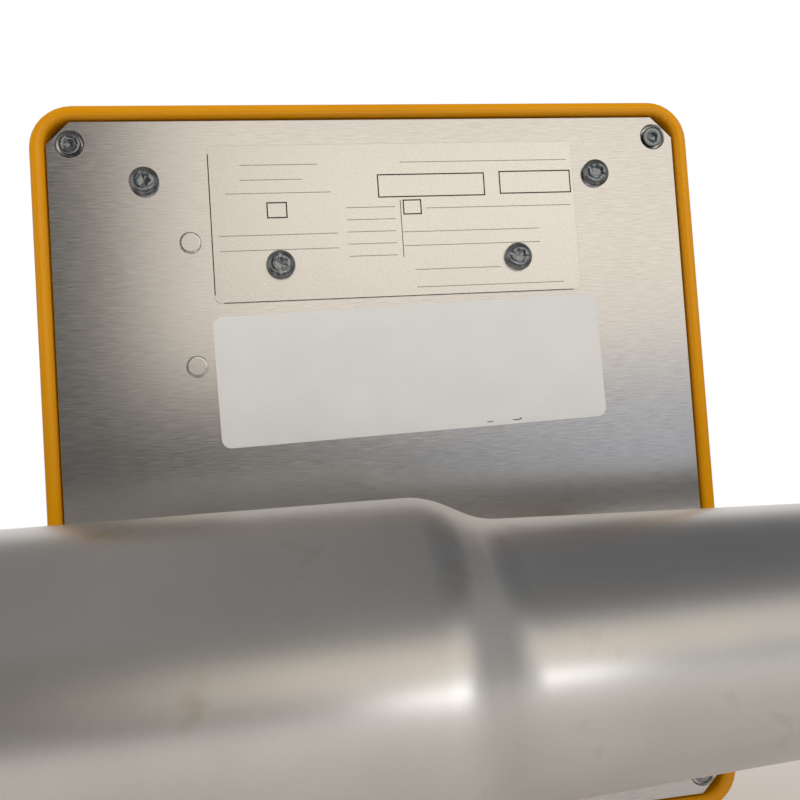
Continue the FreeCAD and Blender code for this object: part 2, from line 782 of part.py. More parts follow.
post_rise = bottom_of_plate + d.dial_post_rise
post_top = top_of_plate - d.dial_post_drop
post_reach = d.plate_width / 2 - d.dial_post_inset
post_places = [(middle + post_reach * sx, height)
               for height in (post_top, post_rise) for sx in (-1, 1)]
chassis_screw_height = top_of_plate - d.chassis_screw_drop
chassis_screw_places = [(middle - d.nameplate_offset + d.chassis_screw_spread * sx, chassis_screw_height)
                        for sx in (-1, 1)]
stud_across = middle + d.plate_width / 2 - d.stud_inset
stud_places = [(stud_across, top_of_plate - d.stud_drop),
               (stud_across, top_of_plate - d.stud_drop - d.stud_pitch)]


def back_plate():
    """The brushed plate with bevelled corners that closes the hood and carries the whole indicator."""
    body = facing("back_plate", d.axis_to_plate)
    outline = sketch_on(body, "XY_Plane")
    left, right = middle - d.plate_width / 2, middle + d.plate_width / 2
    top, bottom, cut = top_of_plate, bottom_of_plate, d.plate_chamfer
    draw_polygon(outline, [
        (left + cut, bottom), (right - cut, bottom), (right, bottom + cut), (right, top - cut),
        (right - cut, top), (left + cut, top), (left, top - cut), (left, bottom + cut)])
    for across, height in corner_places:
        draw_circle(outline, across, height, d.corner_screw_radius + d.seat_gap)
    for across, height in post_places + chassis_screw_places:
        draw_circle(outline, across, height, d.button_shank_radius + d.seat_gap)
    for across, height in stud_places:
        draw_circle(outline, across, height, d.stud_radius + d.slip_gap)
    for _, across in pillar_places:
        draw_circle(outline, across, NOTHING, d.pillar_screw_radius + d.seat_gap)
    pad(body, outline, d.plate_thickness)
    counterbores = sketch_on(body, "XY_Plane")
    for across, height in corner_places:
        draw_circle(counterbores, across, height, d.counterbore_radius)
    pocket(body, counterbores, d.counterbore_depth)


def back_gasket():
    body = facing("back_gasket", plate_inside)
    sketch = sketch_on(body, "XY_Plane")
    seat_corner = d.hood_corner_radius - d.rim_wall
    inset = d.gasket_inset * 2
    draw_rounded(sketch, middle, plate_centre, seat_width - inset, seat_height - inset,
                 seat_corner - d.gasket_inset)
    draw_rounded(sketch, middle, plate_centre, cavity_width + inset, cavity_height + inset,
                 seat_corner - d.ledge_width + d.gasket_inset)
    pad(body, sketch, d.gasket_thickness)


def corner_screws():
    seat = d.axis_to_plate + d.counterbore_depth
    reach = ledge_depth - seat + d.corner_screw_length - d.seat_gap
    profile = cap_screw_profile(d.corner_head_radius, d.corner_head_height, d.corner_screw_radius, reach)
    for number, (across, height) in enumerate(corner_places, start=1):
        turned_to_dial("corner_screw_%d" % number, across, seat, height, profile)


def button_screw(label, across, depth, height, length):
    """A button head, bevelled towards its flat top, on a plain shank."""
    return turned_to_dial(label, across, depth, height, [
        (NOTHING, -d.button_height), (d.button_top_radius, -d.button_height),
        (d.button_radius, -d.button_rim), (d.button_radius, NOTHING), (d.button_shank_radius, NOTHING),
        (d.button_shank_radius, length), (NOTHING, length)])


def button_screws():
    """Two rows that hold the dial posts, and a pair through the nameplate that holds the chassis."""
    for number, (across, height) in enumerate(post_places, start=1):
        button_screw("dial_post_screw_%d" % number, across, d.axis_to_plate, height,
                     d.plate_thickness + d.button_length - d.seat_gap)
    group("chassis_screws", [
        button_screw("ChassisScrew", across, d.axis_to_plate - d.nameplate_thickness, height,
                     d.nameplate_thickness + d.plate_thickness + d.button_length / 2)
        for across, height in chassis_screw_places])


def stud_and_nut(number, across, height):
    """A stud pressed through the plate, with a nut on the foot of the terminal block."""
    foot_end = d.plate_thickness + d.terminal_foot
    turned_to_dial("clinch_stud_%d" % number, across, d.axis_to_plate, height,
                   cap_screw_profile(d.stud_head_radius, d.stud_head_height, d.stud_radius,
                                     foot_end + d.stud_nut_height))
    nut = facing("stud_nut_%d" % number, d.axis_to_plate + foot_end, across, height)
    sketch = sketch_on(nut, "XY_Plane")
    draw_hexagon(sketch, d.stud_nut_radius)
    draw_circle(sketch, NOTHING, NOTHING, d.stud_radius + d.slip_gap)
    pad(nut, sketch, d.stud_nut_height)


def stuck_on_plates():
    """The thin metal nameplate, pierced by two screws, and the white label below it."""
    across = middle - d.nameplate_offset
    height = top_of_plate - d.nameplate_drop - d.nameplate_height / 2
    nameplate = facing("nameplate", d.axis_to_plate - d.nameplate_thickness)
    sketch = sketch_on(nameplate, "XY_Plane")
    draw_rounded(sketch, across, height, d.plate_width - d.nameplate_side * 2, d.nameplate_height,
                 d.nameplate_corner)
    for hole_across, hole_height in chassis_screw_places:
        draw_circle(sketch, hole_across, hole_height, d.button_shank_radius + d.seat_gap)
    pad(nameplate, sketch, d.nameplate_thickness)
    label = new_body("tag_label", (middle - d.label_offset, d.label_thickness - d.axis_to_plate,
                                   top_of_plate - d.label_drop - d.label_height / 2))
    face = sketch_on(label, "XZ_Plane")
    draw_rounded(face, NOTHING, NOTHING, d.plate_width - d.label_side * 2, d.label_height, d.label_corner)
    pad(label, face, d.label_thickness)
    label.Placement = Placement(label.Placement.Base, Rotation(Vector(0, 1, 0), d.label_tilt.number))
    bind(label, "Placement.Rotation.Angle", d.label_tilt)


# Window.
def window():
    """Gasket and glass against the front wall, held by a sheet frame with four screws."""
    glass_corner = d.window_corner_radius
    gasket = facing("window_gasket", front_wall_inside - d.window_gasket_thickness)
    sketch = sketch_on(gasket, "XY_Plane")
    draw_rounded(sketch, middle, window_middle, glass_width, glass_height, glass_corner)
    draw_rounded(sketch, middle, window_middle, window_width, d.window_height, d.window_corner_radius)
    pad(gasket, sketch, d.window_gasket_thickness)
    glass = facing("window_glass", front_wall_inside - window_stack)
    sketch = sketch_on(glass, "XY_Plane")
    draw_rounded(sketch, middle, window_middle, glass_width, glass_height, glass_corner)
    pad(glass, sketch, d.glass_thickness)
    clamp = facing("window_clamp", front_wall_inside - window_stack - d.clamp_thickness)
    sketch = sketch_on(clamp, "XY_Plane")
    draw_rounded(sketch, middle, window_middle, glass_width - d.clamp_inset * 2,
                 clamp_boss_rise * 2 + d.clamp_boss_radius * 2, d.clamp_boss_radius)
    draw_rounded(sketch, middle, window_middle, glass_width - d.clamp_lip * 2,
                 glass_height - d.clamp_lip * 2, glass_corner)
    for across, height in clamp_places:
        draw_circle(sketch, across, height, d.clamp_screw_radius + d.slip_gap)
    pad(clamp, sketch, d.clamp_thickness)
    clamp_seat = front_wall_inside - window_stack - d.clamp_thickness
    reach = d.clamp_thickness + window_stack - d.seat_gap
    group("window_screws", [
        hexagon_screw("WindowScrew", across, clamp_seat, height, d.clamp_head_radius, d.clamp_head_height,
                      d.clamp_screw_radius, reach, TOWARDS_DIAL) for across, height in clamp_places])


# Dial on its posts.
dial_front = front_wall_inside - window_stack - d.clamp_thickness - d.dial_window_gap
dial_back = dial_front - d.dial_thickness
pointer_start = dial_front + d.pointer_gap


def dial():
    body = facing("dial", dial_back)
    post_length = dial_back - plate_inside
    sketch = sketch_on(body, "XY_Plane")
    top, bottom = top_of_plate - d.dial_top_margin, bottom_of_plate + d.dial_bottom_margin
    draw_rounded(sketch, middle, (top + bottom) / 2, d.plate_width - d.dial_side * 2, top - bottom,
                 d.dial_corner)
    draw_circle(sketch, middle, pivot_height, d.pointer_hub_radius)
    for across, height in post_places:
        draw_circle(sketch, across, height, d.dial_rivet_radius + d.slip_gap)
    pad(body, sketch, d.dial_thickness)
    for number, (across, height) in enumerate(post_places, start=1):
        post = facing("dial_post_%d" % number, plate_inside, across, height)
        bar = sketch_on(post, "XY_Plane")
        draw_hexagon(bar, d.dial_post_radius)
        pad(post, bar, post_length)
        rivet = sketch_on(post, "XY_Plane", post_length)
        draw_circle(rivet, NOTHING, NOTHING, d.dial_rivet_radius)
        pad(post, rivet, d.dial_thickness + d.dial_rivet_height)
        tapping = sketch_on(post, "XY_Plane")
        draw_circle(tapping, NOTHING, NOTHING, d.button_shank_radius + d.slip_gap)
        pocket(post, tapping, d.button_length)


# Pointer mechanism between the plate and the dial.
def chassis():
    """A folded sheet bridge over the follower: two ears on the plate, two legs and a web."""
    top = top_of_plate - d.chassis_top_margin
    length = top - cavity_bottom - d.chassis_bottom_margin
    body = facing("chassis", plate_inside, NOTHING, top)
    fold = sketch_on(body, "XZ_Plane")
    left, right = middle - d.chassis_half_width, middle + d.chassis_half_width
    sheet_thickness, web = d.chassis_sheet, d.chassis_depth
    draw_polygon(fold, [
        (left - d.chassis_ear + sheet_thickness, NOTHING), (left + sheet_thickness, NOTHING),
        (left + sheet_thickness, web - sheet_thickness), (right - sheet_thickness, web - sheet_thickness),
        (right - sheet_thickness, sheet_thickness), (right - d.chassis_ear, sheet_thickness),
        (right - d.chassis_ear, NOTHING), (right, NOTHING), (right, web), (left, web),
        (left, sheet_thickness), (left - d.chassis_ear + sheet_thickness, sheet_thickness)])
    pad(body, fold, length)
    holes = sketch_on(body, "XY_Plane")
    for across, height in chassis_screw_places:
        draw_circle(holes, across, height - top, d.button_shank_radius + d.slip_gap)
    draw_circle(holes, middle, pivot_height - top, d.bearing_radius + d.slip_gap)
    pocket(body, holes, web)


def bearings():
    shaft_bore = d.shaft_radius + d.running_gap
    flange_end = d.bearing_flange
    boss_end = flange_end + d.bearing_boss
    turned_to_dial("rear_bearing", middle, plate_inside, pivot_height, [
        (NOTHING, NOTHING), (d.bearing_flange_radius, NOTHING), (d.bearing_flange_radius, flange_end),
        (d.bearing_radius, flange_end), (d.bearing_radius, boss_end), (shaft_bore, boss_end),
        (shaft_bore, flange_end), (NOTHING, flange_end)])
    web_back = plate_inside + d.chassis_depth - d.chassis_sheet
    through = d.bearing_flange + d.chassis_sheet + d.bearing_flange
    turned_to_dial("front_bearing", middle, web_back - d.bearing_flange, pivot_height, [
        (shaft_bore, NOTHING), (d.bearing_flange_radius, NOTHING),
        (d.bearing_flange_radius, d.bearing_flange), (d.bearing_radius, d.bearing_flange),
        (d.bearing_radius, through), (shaft_bore, through)])


def damper_magnet():
    """A C-shaped magnet on the web, with the damper disc running in its gap."""
    disc_front = d.disc_depth + d.disc_thickness + d.damper_air_gap
    disc_back = d.disc_depth - d.damper_air_gap
    web_back = d.chassis_depth - d.chassis_sheet
    yoke = d.disc_radius + d.damper_air_gap
    body = facing("damper_magnet", plate_inside, middle - d.damper_width / 2, pivot_height)
    sketch = sketch_on(body, "YZ_Plane")
    draw_polygon(sketch, [
        (-d.damper_reach, disc_back - d.damper_pole), (-d.damper_reach, disc_back), (-yoke, disc_back),
        (-yoke, disc_front), (-d.damper_reach, disc_front), (-d.damper_reach, web_back),
        (-yoke - d.damper_back, web_back), (-yoke - d.damper_back, disc_back - d.damper_pole)])
    pad(body, sketch, d.damper_width)


def swung(label, depth):
    """A body on the pointer shaft, drawn upright and turned to the zero of the scale."""
    body = facing(label, depth, middle, pivot_height)
    tilt = Rotation(Vector(0, 1, 0), -d.pointer_sweep.number / 2)
    body.Placement = Placement(body.Placement.Base, tilt.multiply(TOWARDS_DIAL))
    return body


def swung_parts():
    """The shaft and what drives and steadies it: follower arm and magnet, balance weight, damper disc."""
    shaft_start = plate_inside + d.bearing_flange + d.seat_gap
    shaft_length = pointer_start + d.pointer_hub_length - d.shaft_recess - shaft_start
    turned_to_dial("pointer_shaft", middle, shaft_start, pivot_height, [
        (NOTHING, NOTHING), (d.shaft_radius, NOTHING),
        (d.shaft_radius, shaft_length), (NOTHING, shaft_length)])
    fitted = d.shaft_radius + d.slip_gap
    arm_start = plate_inside + d.arm_depth
    arm = swung("follower_arm", arm_start)
    half = d.arm_width / 2
    bar = sketch_on(arm, "XY_Plane")
    draw_polygon(bar, [(-half, -d.counterweight_reach), (half, -d.counterweight_reach),
                       (half, d.pivot_drop), (-half, d.pivot_drop)])
    pad(arm, bar, d.arm_thickness)
    rounds = sketch_on(arm, "XY_Plane")
    draw_circle(rounds, NOTHING, NOTHING, d.arm_hub_radius)
    draw_circle(rounds, NOTHING, d.pivot_drop, d.follower_radius + d.follower_rim)
    draw_circle(rounds, NOTHING, -d.counterweight_reach, d.counterweight_radius)
    pad(arm, rounds, d.arm_thickness)
    bores = sketch_on(arm, "XY_Plane")
    draw_circle(bores, NOTHING, NOTHING, fitted)
    draw_circle(bores, NOTHING, d.pivot_drop, d.follower_radius + d.slip_gap)
    pocket(arm, bores, d.arm_thickness)
    magnet = swung("follower_magnet", arm_start + d.arm_thickness / 2 - d.follower_length / 2)
    face = sketch_on(magnet, "XY_Plane")
    draw_circle(face, NOTHING, d.pivot_drop, d.follower_radius)
    pad(magnet, face, d.follower_length)
    weight = swung("counterweight", arm_start + d.arm_thickness)
    face = sketch_on(weight, "XY_Plane")
    draw_circle(face, NOTHING, -d.counterweight_reach, d.counterweight_radius)
    pad(weight, face, d.counterweight_length)
    hub_start = -(d.disc_hub_length - d.disc_thickness) / 2
    turned_to_dial("damper_disc", middle, plate_inside + d.disc_depth, pivot_height, [
        (fitted, hub_start), (d.disc_hub_radius, hub_start), (d.disc_hub_radius, NOTHING),
        (d.disc_radius, NOTHING), (d.disc_radius, d.disc_thickness), (d.disc_hub_radius, d.disc_thickness),
        (d.disc_hub_radius, d.disc_thickness - hub_start), (fitted, d.disc_thickness - hub_start)])


def limit_detector():
    """A slot detector on the web, and the vane on the shaft that enters its slot towards full scale."""
    vane_front = d.vane_depth + d.vane_thickness + d.detector_air_gap
    vane_back = d.vane_depth - d.detector_air_gap
    yoke = d.vane_radius + d.detector_air_gap
    back, top = yoke + d.detector_back, vane_front + d.detector_jaw
    body = facing("limit_detector", plate_inside, middle - d.detector_width / 2, pivot_height)
    sketch = sketch_on(body, "YZ_Plane")
    draw_polygon(sketch, [
        (d.detector_reach, d.chassis_depth), (back, d.chassis_depth), (back, top), (d.detector_reach, top),
        (d.detector_reach, vane_front), (yoke, vane_front), (yoke, vane_back), (d.detector_reach, vane_back)])
    pad(body, sketch, d.detector_width)
    vane = swung("detector_vane", plate_inside + d.vane_depth)
    lead, lag = math.radians(d.vane_lead.number), math.radians(d.vane_lag.number)
    root = d.vane_hub_radius / 2
    blade = sketch_on(vane, "XY_Plane")
    draw_polygon(blade, [
        (-root * math.sin(lag), root * math.cos(lag)), (-root * math.sin(lead), root * math.cos(lead)),
        (-d.vane_radius * math.sin(lead), d.vane_radius * math.cos(lead)),
        (-d.vane_radius * math.sin(lag), d.vane_radius * math.cos(lag))])
    pad(vane, blade, d.vane_thickness)
    hub = sketch_on(vane, "XY_Plane")
    draw_circle(hub, NOTHING, NOTHING, d.vane_hub_radius)
    pad(vane, hub, d.vane_hub_length)
    bore = sketch_on(vane, "XY_Plane")
    draw_circle(bore, NOTHING, NOTHING, d.shaft_radius + d.slip_gap)
    pocket(vane, bore, d.vane_hub_length)


def needle():
    """The pointer: a tapered needle with a broad tail on a round hub."""
    body = swung("pointer", pointer_start)
    root, tip = d.pointer_root_width / 2, d.pointer_tip_width / 2
    outline = sketch_on(body, "XY_Plane")
    draw_polygon(outline, [(-root, -d.pointer_tail), (root, -d.pointer_tail), (root, NOTHING),
                           (tip, d.pointer_length), (-tip, d.pointer_length), (-root, NOTHING)])
    pad(body, outline, d.pointer_thickness)
    hub = sketch_on(body, "XY_Plane")
    draw_circle(hub, NOTHING, NOTHING, d.pointer_hub_radius)
    pad(body, hub, d.pointer_hub_length)
    bore = sketch_on(body, "XY_Plane")
    draw_circle(bore, NOTHING, NOTHING, d.shaft_radius + d.slip_gap)
    pocket(body, bore, d.pointer_hub_length)


# Terminals and cable gland.
def terminal_block():
    """A row of terminals on two feet, each foot held by a stud of the plate."""
    (across, upper), (across, lower) = stud_places
    body = facing("terminal_block", plate_inside)
    foot = sketch_on(body, "XY_Plane")
    centre = (upper + lower) / 2
    draw_box(foot, across, centre, d.terminal_width, d.terminal_height)
    for height in (upper, lower):
        draw_circle(foot, across, height, d.stud_radius + d.slip_gap)
    pad(body, foot, d.terminal_foot)
    tower = sketch_on(body, "XY_Plane", d.terminal_foot)
    tower_height = upper - lower - d.stud_nut_radius * 2 - d.seat_gap * 2
    draw_box(tower, across, centre, d.terminal_width, tower_height)
    pad(body, tower, d.terminal_depth - d.terminal_foot)
    ways = sketch_on(body, "XY_Plane", d.terminal_depth - d.terminal_way_depth)
    for step in (-1, 0, 1):
        for side in (-1, 1):
            draw_box(ways, across + d.terminal_width / 4 * side, centre + d.terminal_pitch * step,
                     d.terminal_way_width, d.terminal_way_width)
    pocket(body, ways, d.terminal_way_depth)


def turned_upright(label, profile):
    """A piece of the gland, turned about its upright axis from (radius, height) points."""
    body = new_body(label, (gland_across, -d.gland_depth, NOTHING))
    sketch = sketch_on(body, "XZ_Plane")
    draw_polygon(sketch, profile)
    revolve(body, sketch, "V_Axis")
    return body


def gland():
    """A threaded body through the floor of the hood, with a locknut inside, a seal and a stepped cap."""
    thread_top = hood_bottom + d.gland_thread_length
    hex_bottom = hood_bottom - d.gland_hex_height
    seal_top = hex_bottom
    cap_bottom = hex_bottom - d.gland_cap_height
    bore = d.gland_mouth_radius - d.gland_lip
    body = new_body("gland_body", (gland_across, -d.gland_depth, hex_bottom))
    hexagon = sketch_on(body, "XY_Plane")
    draw_hexagon(hexagon, d.gland_hex_radius)
    draw_circle(hexagon, NOTHING, NOTHING, bore)
    pad(body, hexagon, d.gland_hex_height)
    thread = sketch_on(body, "XY_Plane", d.gland_hex_height)
    draw_circle(thread, NOTHING, NOTHING, d.gland_thread_radius)
    draw_circle(thread, NOTHING, NOTHING, bore)
    pad(body, thread, d.gland_thread_length)
    nut = new_body("gland_locknut", (gland_across, -d.gland_depth, cavity_bottom))
    sketch = sketch_on(nut, "XY_Plane")
    draw_hexagon(sketch, d.locknut_radius)
    draw_circle(sketch, NOTHING, NOTHING, d.gland_thread_radius + d.slip_gap)
    pad(nut, sketch, d.locknut_height)
    cap_lip = cap_bottom + d.gland_lip
    cap_neck = cap_bottom + d.gland_neck_height
    turned_upright("gland_cap", [
        (d.gland_mouth_radius, seal_top), (d.gland_cap_radius, seal_top),
        (d.gland_cap_radius, cap_neck), (d.gland_neck_radius, cap_neck), (d.gland_neck_radius, cap_bottom),
        (bore, cap_bottom), (bore, cap_lip), (d.gland_mouth_radius, cap_lip)])
    seal_outside = d.gland_mouth_radius - d.slip_gap
    turned_upright("gland_seal", [(d.gland_bore_radius, cap_lip), (seal_outside, cap_lip),
                                  (seal_outside, seal_top), (d.gland_bore_radius, seal_top)])


measuring_tube()
flange("inlet_flange", d.inlet_radius, NOTHING, UNTURNED)
flange("outlet_flange", d.outlet_radius, d.face_to_face, AGAINST_FLOW)
rod_and_guides()
float_pieces()
return_spring()
pillars()
hood()
back_plate()
back_gasket()
corner_screws()
button_screws()
for number, (across, height) in enumerate(stud_places, start=1):
    stud_and_nut(number, across, height)
stuck_on_plates()
window()
dial()
chassis()
bearings()
damper_magnet()
swung_parts()
limit_detector()
needle()
terminal_block()
gland()
doc.recompute()

for thing in doc.Objects:
    if "Invalid" in thing.State or "Error" in thing.State:
        raise RuntimeError("%s failed: %s" % (thing.Label, thing.State))
for node in nodes:
    if node.Shape.isNull() or not node.Shape.isValid():
        raise RuntimeError("%s has no valid shape" % node.Label)

os.makedirs("parts", exist_ok=True)
for node in nodes:
    node.Shape.exportStep("parts/%s.step" % node.Label)
print("%d sub-parts written" % len(nodes))
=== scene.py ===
import json
from functools import partial
from math import atan2, cos, pi, radians, sin, sqrt, tan

import bmesh
import bpy
from mathutils import Matrix, Vector


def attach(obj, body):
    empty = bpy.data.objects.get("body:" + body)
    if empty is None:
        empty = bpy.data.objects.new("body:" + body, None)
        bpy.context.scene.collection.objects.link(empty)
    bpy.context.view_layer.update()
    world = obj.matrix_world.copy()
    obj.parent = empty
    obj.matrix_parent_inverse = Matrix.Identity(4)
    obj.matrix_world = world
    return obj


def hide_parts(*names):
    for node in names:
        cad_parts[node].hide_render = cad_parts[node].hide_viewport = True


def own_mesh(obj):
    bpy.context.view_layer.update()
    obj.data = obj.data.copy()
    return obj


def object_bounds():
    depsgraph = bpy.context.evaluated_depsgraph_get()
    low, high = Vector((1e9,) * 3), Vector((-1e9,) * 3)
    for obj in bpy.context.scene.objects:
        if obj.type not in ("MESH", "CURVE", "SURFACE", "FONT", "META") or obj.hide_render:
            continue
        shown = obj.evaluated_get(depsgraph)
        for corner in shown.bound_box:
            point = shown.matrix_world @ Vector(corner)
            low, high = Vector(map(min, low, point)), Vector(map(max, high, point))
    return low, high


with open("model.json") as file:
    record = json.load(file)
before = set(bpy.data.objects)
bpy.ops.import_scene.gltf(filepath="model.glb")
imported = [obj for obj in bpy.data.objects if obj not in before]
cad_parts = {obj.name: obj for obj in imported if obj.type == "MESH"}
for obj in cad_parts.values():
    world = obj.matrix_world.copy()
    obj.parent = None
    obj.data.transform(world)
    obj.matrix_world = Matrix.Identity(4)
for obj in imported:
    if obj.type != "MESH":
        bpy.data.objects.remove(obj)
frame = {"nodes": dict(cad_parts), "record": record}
cadBox = [list(corner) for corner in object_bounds()]
scene = bpy.context.scene
scene.view_settings.view_transform = "Standard"
mm = 0.001
print("frame loaded,", len(frame["nodes"]), "nodes")

# Shared places in mm: x along the flow from the meter's middle, z up, and depth from the tube's axis to the dial.
middle = 197.0
tubeStart, tubeEnd, inletRadius, outletRadius = -200.0, 200.0, 22.15, 30.15
plateFace, plateTop, plateBottom = 68.0, 127.5, -63.5
filmThick, labelThick, counterDepth = 0.3, 0.2, 1.8
pivot = (0.0, -27.0)
glandSeat = (47.0, -114.0, 0)
# Seats of the screws, studs and pillars on the plate.
cornerX, cornerZ = (-79.7, 79.7), (121.7, -57.7)
postX, postZ = (-61.5, 61.5), (111.3, -45.0)
chassisX, chassisZ = (-37.3, 27.7), 88.3
studX, studZ = 50.7, (95.0, 62.5)
pillarX = (-60.0, 60.0)
white = (1.0, 1.0, 1.0, 1.0)
rootDirections = {
    "flow": (Vector((1, 0, 0)), Vector((0, 1, 0))),
    "back": (Vector((0, 1, 0)), Vector((0, 0, 1))),
    "up": (Vector((0, 0, 1)), Vector((1, 0, 0))),
}


def toFrame(point, start=middle):
    return Vector((point[0] + start, point[1], point[2])) * mm


def linearColour(hexCode):
    channels = [int(hexCode[i:i + 2], 16) / 255 for i in (1, 3, 5)]
    return tuple(c / 12.92 if c <= 0.04045 else ((c + 0.055) / 1.055) ** 2.4 for c in channels) + (1.0,)


# Scale of a pattern whose features are so many mm across.
def patternScale(size):
    return 1 / (size * mm)


# Sets or links a node's sockets; a node given as a value stands for its first output in use.
def fillSockets(node, inputs):
    for name, value in dict(inputs).items():
        if isinstance(value, bpy.types.Node):
            value = next(output for output in value.outputs if output.enabled)
        if isinstance(value, bpy.types.NodeSocket):
            node.id_data.links.new(value, node.inputs[name])
        else:
            node.inputs[name].default_value = value


def addNode(tree, kind, inputs=(), ramp=(), **settings):
    node = tree.nodes.new(kind)
    for name, value in settings.items():
        setattr(node, name, value)
    fillSockets(node, inputs)
    for i, (position, hexCode) in enumerate(ramp):  # every ramp here has two stops
        stop = node.color_ramp.elements[i]
        stop.position, stop.color = position, linearColour(hexCode)
    return node


def startMaterial(name, sockets=()):
    material = bpy.data.materials.new(name)
    material.use_nodes = True
    shader = material.node_tree.nodes["Principled BSDF"]
    fillSockets(shader, sockets)
    add = partial(addNode, material.node_tree)
    return material, shader, add("ShaderNodeTexCoord").outputs["Object"], add


# Makes gloss and relief follow the grain, and gives the grain's tone.
def followGrain(add, shader, grain, look):
    low, high = 0.3, 0.7  # nearly all values of a noise lie between these
    least, most = look["rough"]
    gloss = add("ShaderNodeMapRange", {0: grain, 1: low, 2: high, 3: least, 4: most})
    relief = add("ShaderNodeBump", {"Height": grain, "Strength": 1.0, "Distance": look["relief"] * mm})
    fillSockets(shader, {"Roughness": gloss, "Normal": relief})
    return add("ShaderNodeValToRGB", {"Fac": grain}, ramp=[(low, look["dark"]), (high, look["light"])])


# Lays scattered marks over a colour. They begin where a noise passes the first limit and are full at the second.
def addMarks(add, place, colour, mark):
    noise = add("ShaderNodeTexNoise", {
        "Vector": place, "Scale": patternScale(mark["size"]), "Detail": mark["detail"], "Roughness": mark["grit"]})
    start, end = mark["limits"]
    share = add("ShaderNodeMapRange", {0: noise, 1: start, 2: end, 3: 0.0, 4: mark["share"]})
    return add("ShaderNodeMix", {0: share, 6: colour, 7: linearColour(mark["tone"])}, data_type="RGBA")


# One recipe for the metals: a fine grain with its own size along x, y and z in mm, and broad blotches over it.
def metalFinish(name, **look):
    material, shader, place, add = startMaterial(name, {"Metallic": look.get("metallic", 1.0)})
    along = place
    if look.get("turned"):  # the second size then counts outwards from the flow axis
        parts = add("ShaderNodeSeparateXYZ", {0: place})
        across = add("ShaderNodeVectorMath", {0: place, 1: (0, 1, 1)}, operation="MULTIPLY")
        reach = add("ShaderNodeVectorMath", {0: across}, operation="LENGTH")
        along = add("ShaderNodeCombineXYZ", {0: parts, 1: reach})
    fine = [patternScale(size) for size in look["grain"]]
    stretched = add("ShaderNodeMapping", {"Vector": along, "Scale": fine})
    grain = add("ShaderNodeTexNoise", {"Vector": stretched, "Scale": 1.0, "Detail": 3.0, "Roughness": 0.6})
    tone = followGrain(add, shader, grain, look)
    cloud = add("ShaderNodeTexNoise", {"Vector": place, "Scale": patternScale(look["blotch"]), "Detail": 3.0})
    start, end = 0.35, 0.68  # a blotch is full at the first value and gone at the second
    spread = add("ShaderNodeMapRange", {0: cloud, 1: start, 2: end, 3: look["blotchTone"], 4: 1.0})
    colour = add("ShaderNodeMix", {0: 1.0, 6: tone, 7: spread}, data_type="RGBA", blend_type="MULTIPLY")
    if "stain" in look:
        colour = addMarks(add, place, colour, look["stain"])
    fillSockets(shader, {"Base Color": colour})
    return material


# Paints, plastics and rubber: a base colour with fine grain in tone, gloss and relief.
def plainFinish(name, **look):
    material, shader, place, add = startMaterial(name)
    grain = add("ShaderNodeTexNoise", {"Vector": place, "Scale": patternScale(look["grain"]), "Detail": 4.0})
    fillSockets(shader, {"Base Color": followGrain(add, shader, grain, look)})
    return material


def glossyEnamel():
    # Stoved yellow enamel on a casting: deep colour under a clear wet gloss, faint orange peel of 2 to 3 mm,
    # and a few dark nicks of under a millimetre.
    look = {"deep": "#df9400", "bright": "#e69b00", "limits": (0.3, 0.65), "cloud": 45, "peel": 2.6, "peelRelief": 0.02}
    nick = {"tone": "#5b3d10", "size": 7.0, "detail": 5.0, "grit": 0.7, "limits": (0.73, 0.76), "share": 1.0}
    material, shader, place, add = startMaterial("yellowEnamel", {
        "Roughness": 0.35, "Specular IOR Level": 0.0, "Coat Weight": 0.5, "Coat Roughness": 0.03, "Coat IOR": 1.6})
    cloud = add("ShaderNodeTexNoise", {"Vector": place, "Scale": patternScale(look["cloud"]), "Detail": 4.0})
    start, end = look["limits"]
    tone = add("ShaderNodeValToRGB", {"Fac": cloud}, ramp=[(start, look["deep"]), (end, look["bright"])])
    peel = add("ShaderNodeTexNoise", {"Vector": place, "Scale": patternScale(look["peel"]), "Detail": 1.0})
    relief = add("ShaderNodeBump", {"Height": peel, "Strength": 1.0, "Distance": look["peelRelief"] * mm})
    colour = addMarks(add, place, tone, nick)
    fillSockets(shader, {"Base Color": colour, "Normal": relief, "Coat Normal": relief})
    return material


yellowEnamel = glossyEnamel()
# Brushed aluminium sheet: short level strokes that glint along their length. The strokes are about 0.1 mm wide,
# drawn at 0.22 mm to show.
brushedAluminium = metalFinish(
    "brushedAluminium", dark="#d3d1ce", light="#eceae8", grain=(4.5, 4.5, 0.22), blotch=28, blotchTone=0.97,
    rough=(0.17, 0.22), relief=0.0014)
# Satin stainless tube, pickled and wiped: a soft broad sheen with cloudy marks.
satinStainless = metalFinish(
    "satinStainless", dark="#d2cfcb", light="#d5d2ce", grain=(0.6, 0.6, 0.6), blotch=22, blotchTone=0.93,
    rough=(0.32, 0.34), relief=0.0,
    stain={"tone": "#b9ac97", "size": 11, "detail": 4.0, "grit": 0.5, "limits": (0.64, 0.76), "share": 0.45})
# Turned stainless: lathe marks round the flow axis, drawn at 0.4 mm where real feed marks are 0.2 mm.
turnedStainless = metalFinish(
    "turnedStainless", dark="#bab8b5", light="#d6d4d0", grain=(0.4, 0.5, 1), blotch=30, blotchTone=0.96,
    rough=(0.22, 0.32), relief=0.004, turned=True)
# Bright zinc plate over steel: cool grey, a little cloudy, with smooth reflections.
zincPlatedSteel = metalFinish(
    "zincPlatedSteel", dark="#898e92", light="#9a9fa3", grain=(0.5, 0.5, 0.5), blotch=3, blotchTone=0.92,
    rough=(0.15, 0.2), relief=0.0003)
# Metallised polyester film: pale silver with a fine even sparkle and almost no direction.
metallisedFilm = metalFinish(
    "metallisedFilm", dark="#e9e6e0", light="#f9f6f0", grain=(0.3, 0.3, 0.3), blotch=30, blotchTone=0.98,
    rough=(0.25, 0.32), relief=0.002, metallic=0.9)
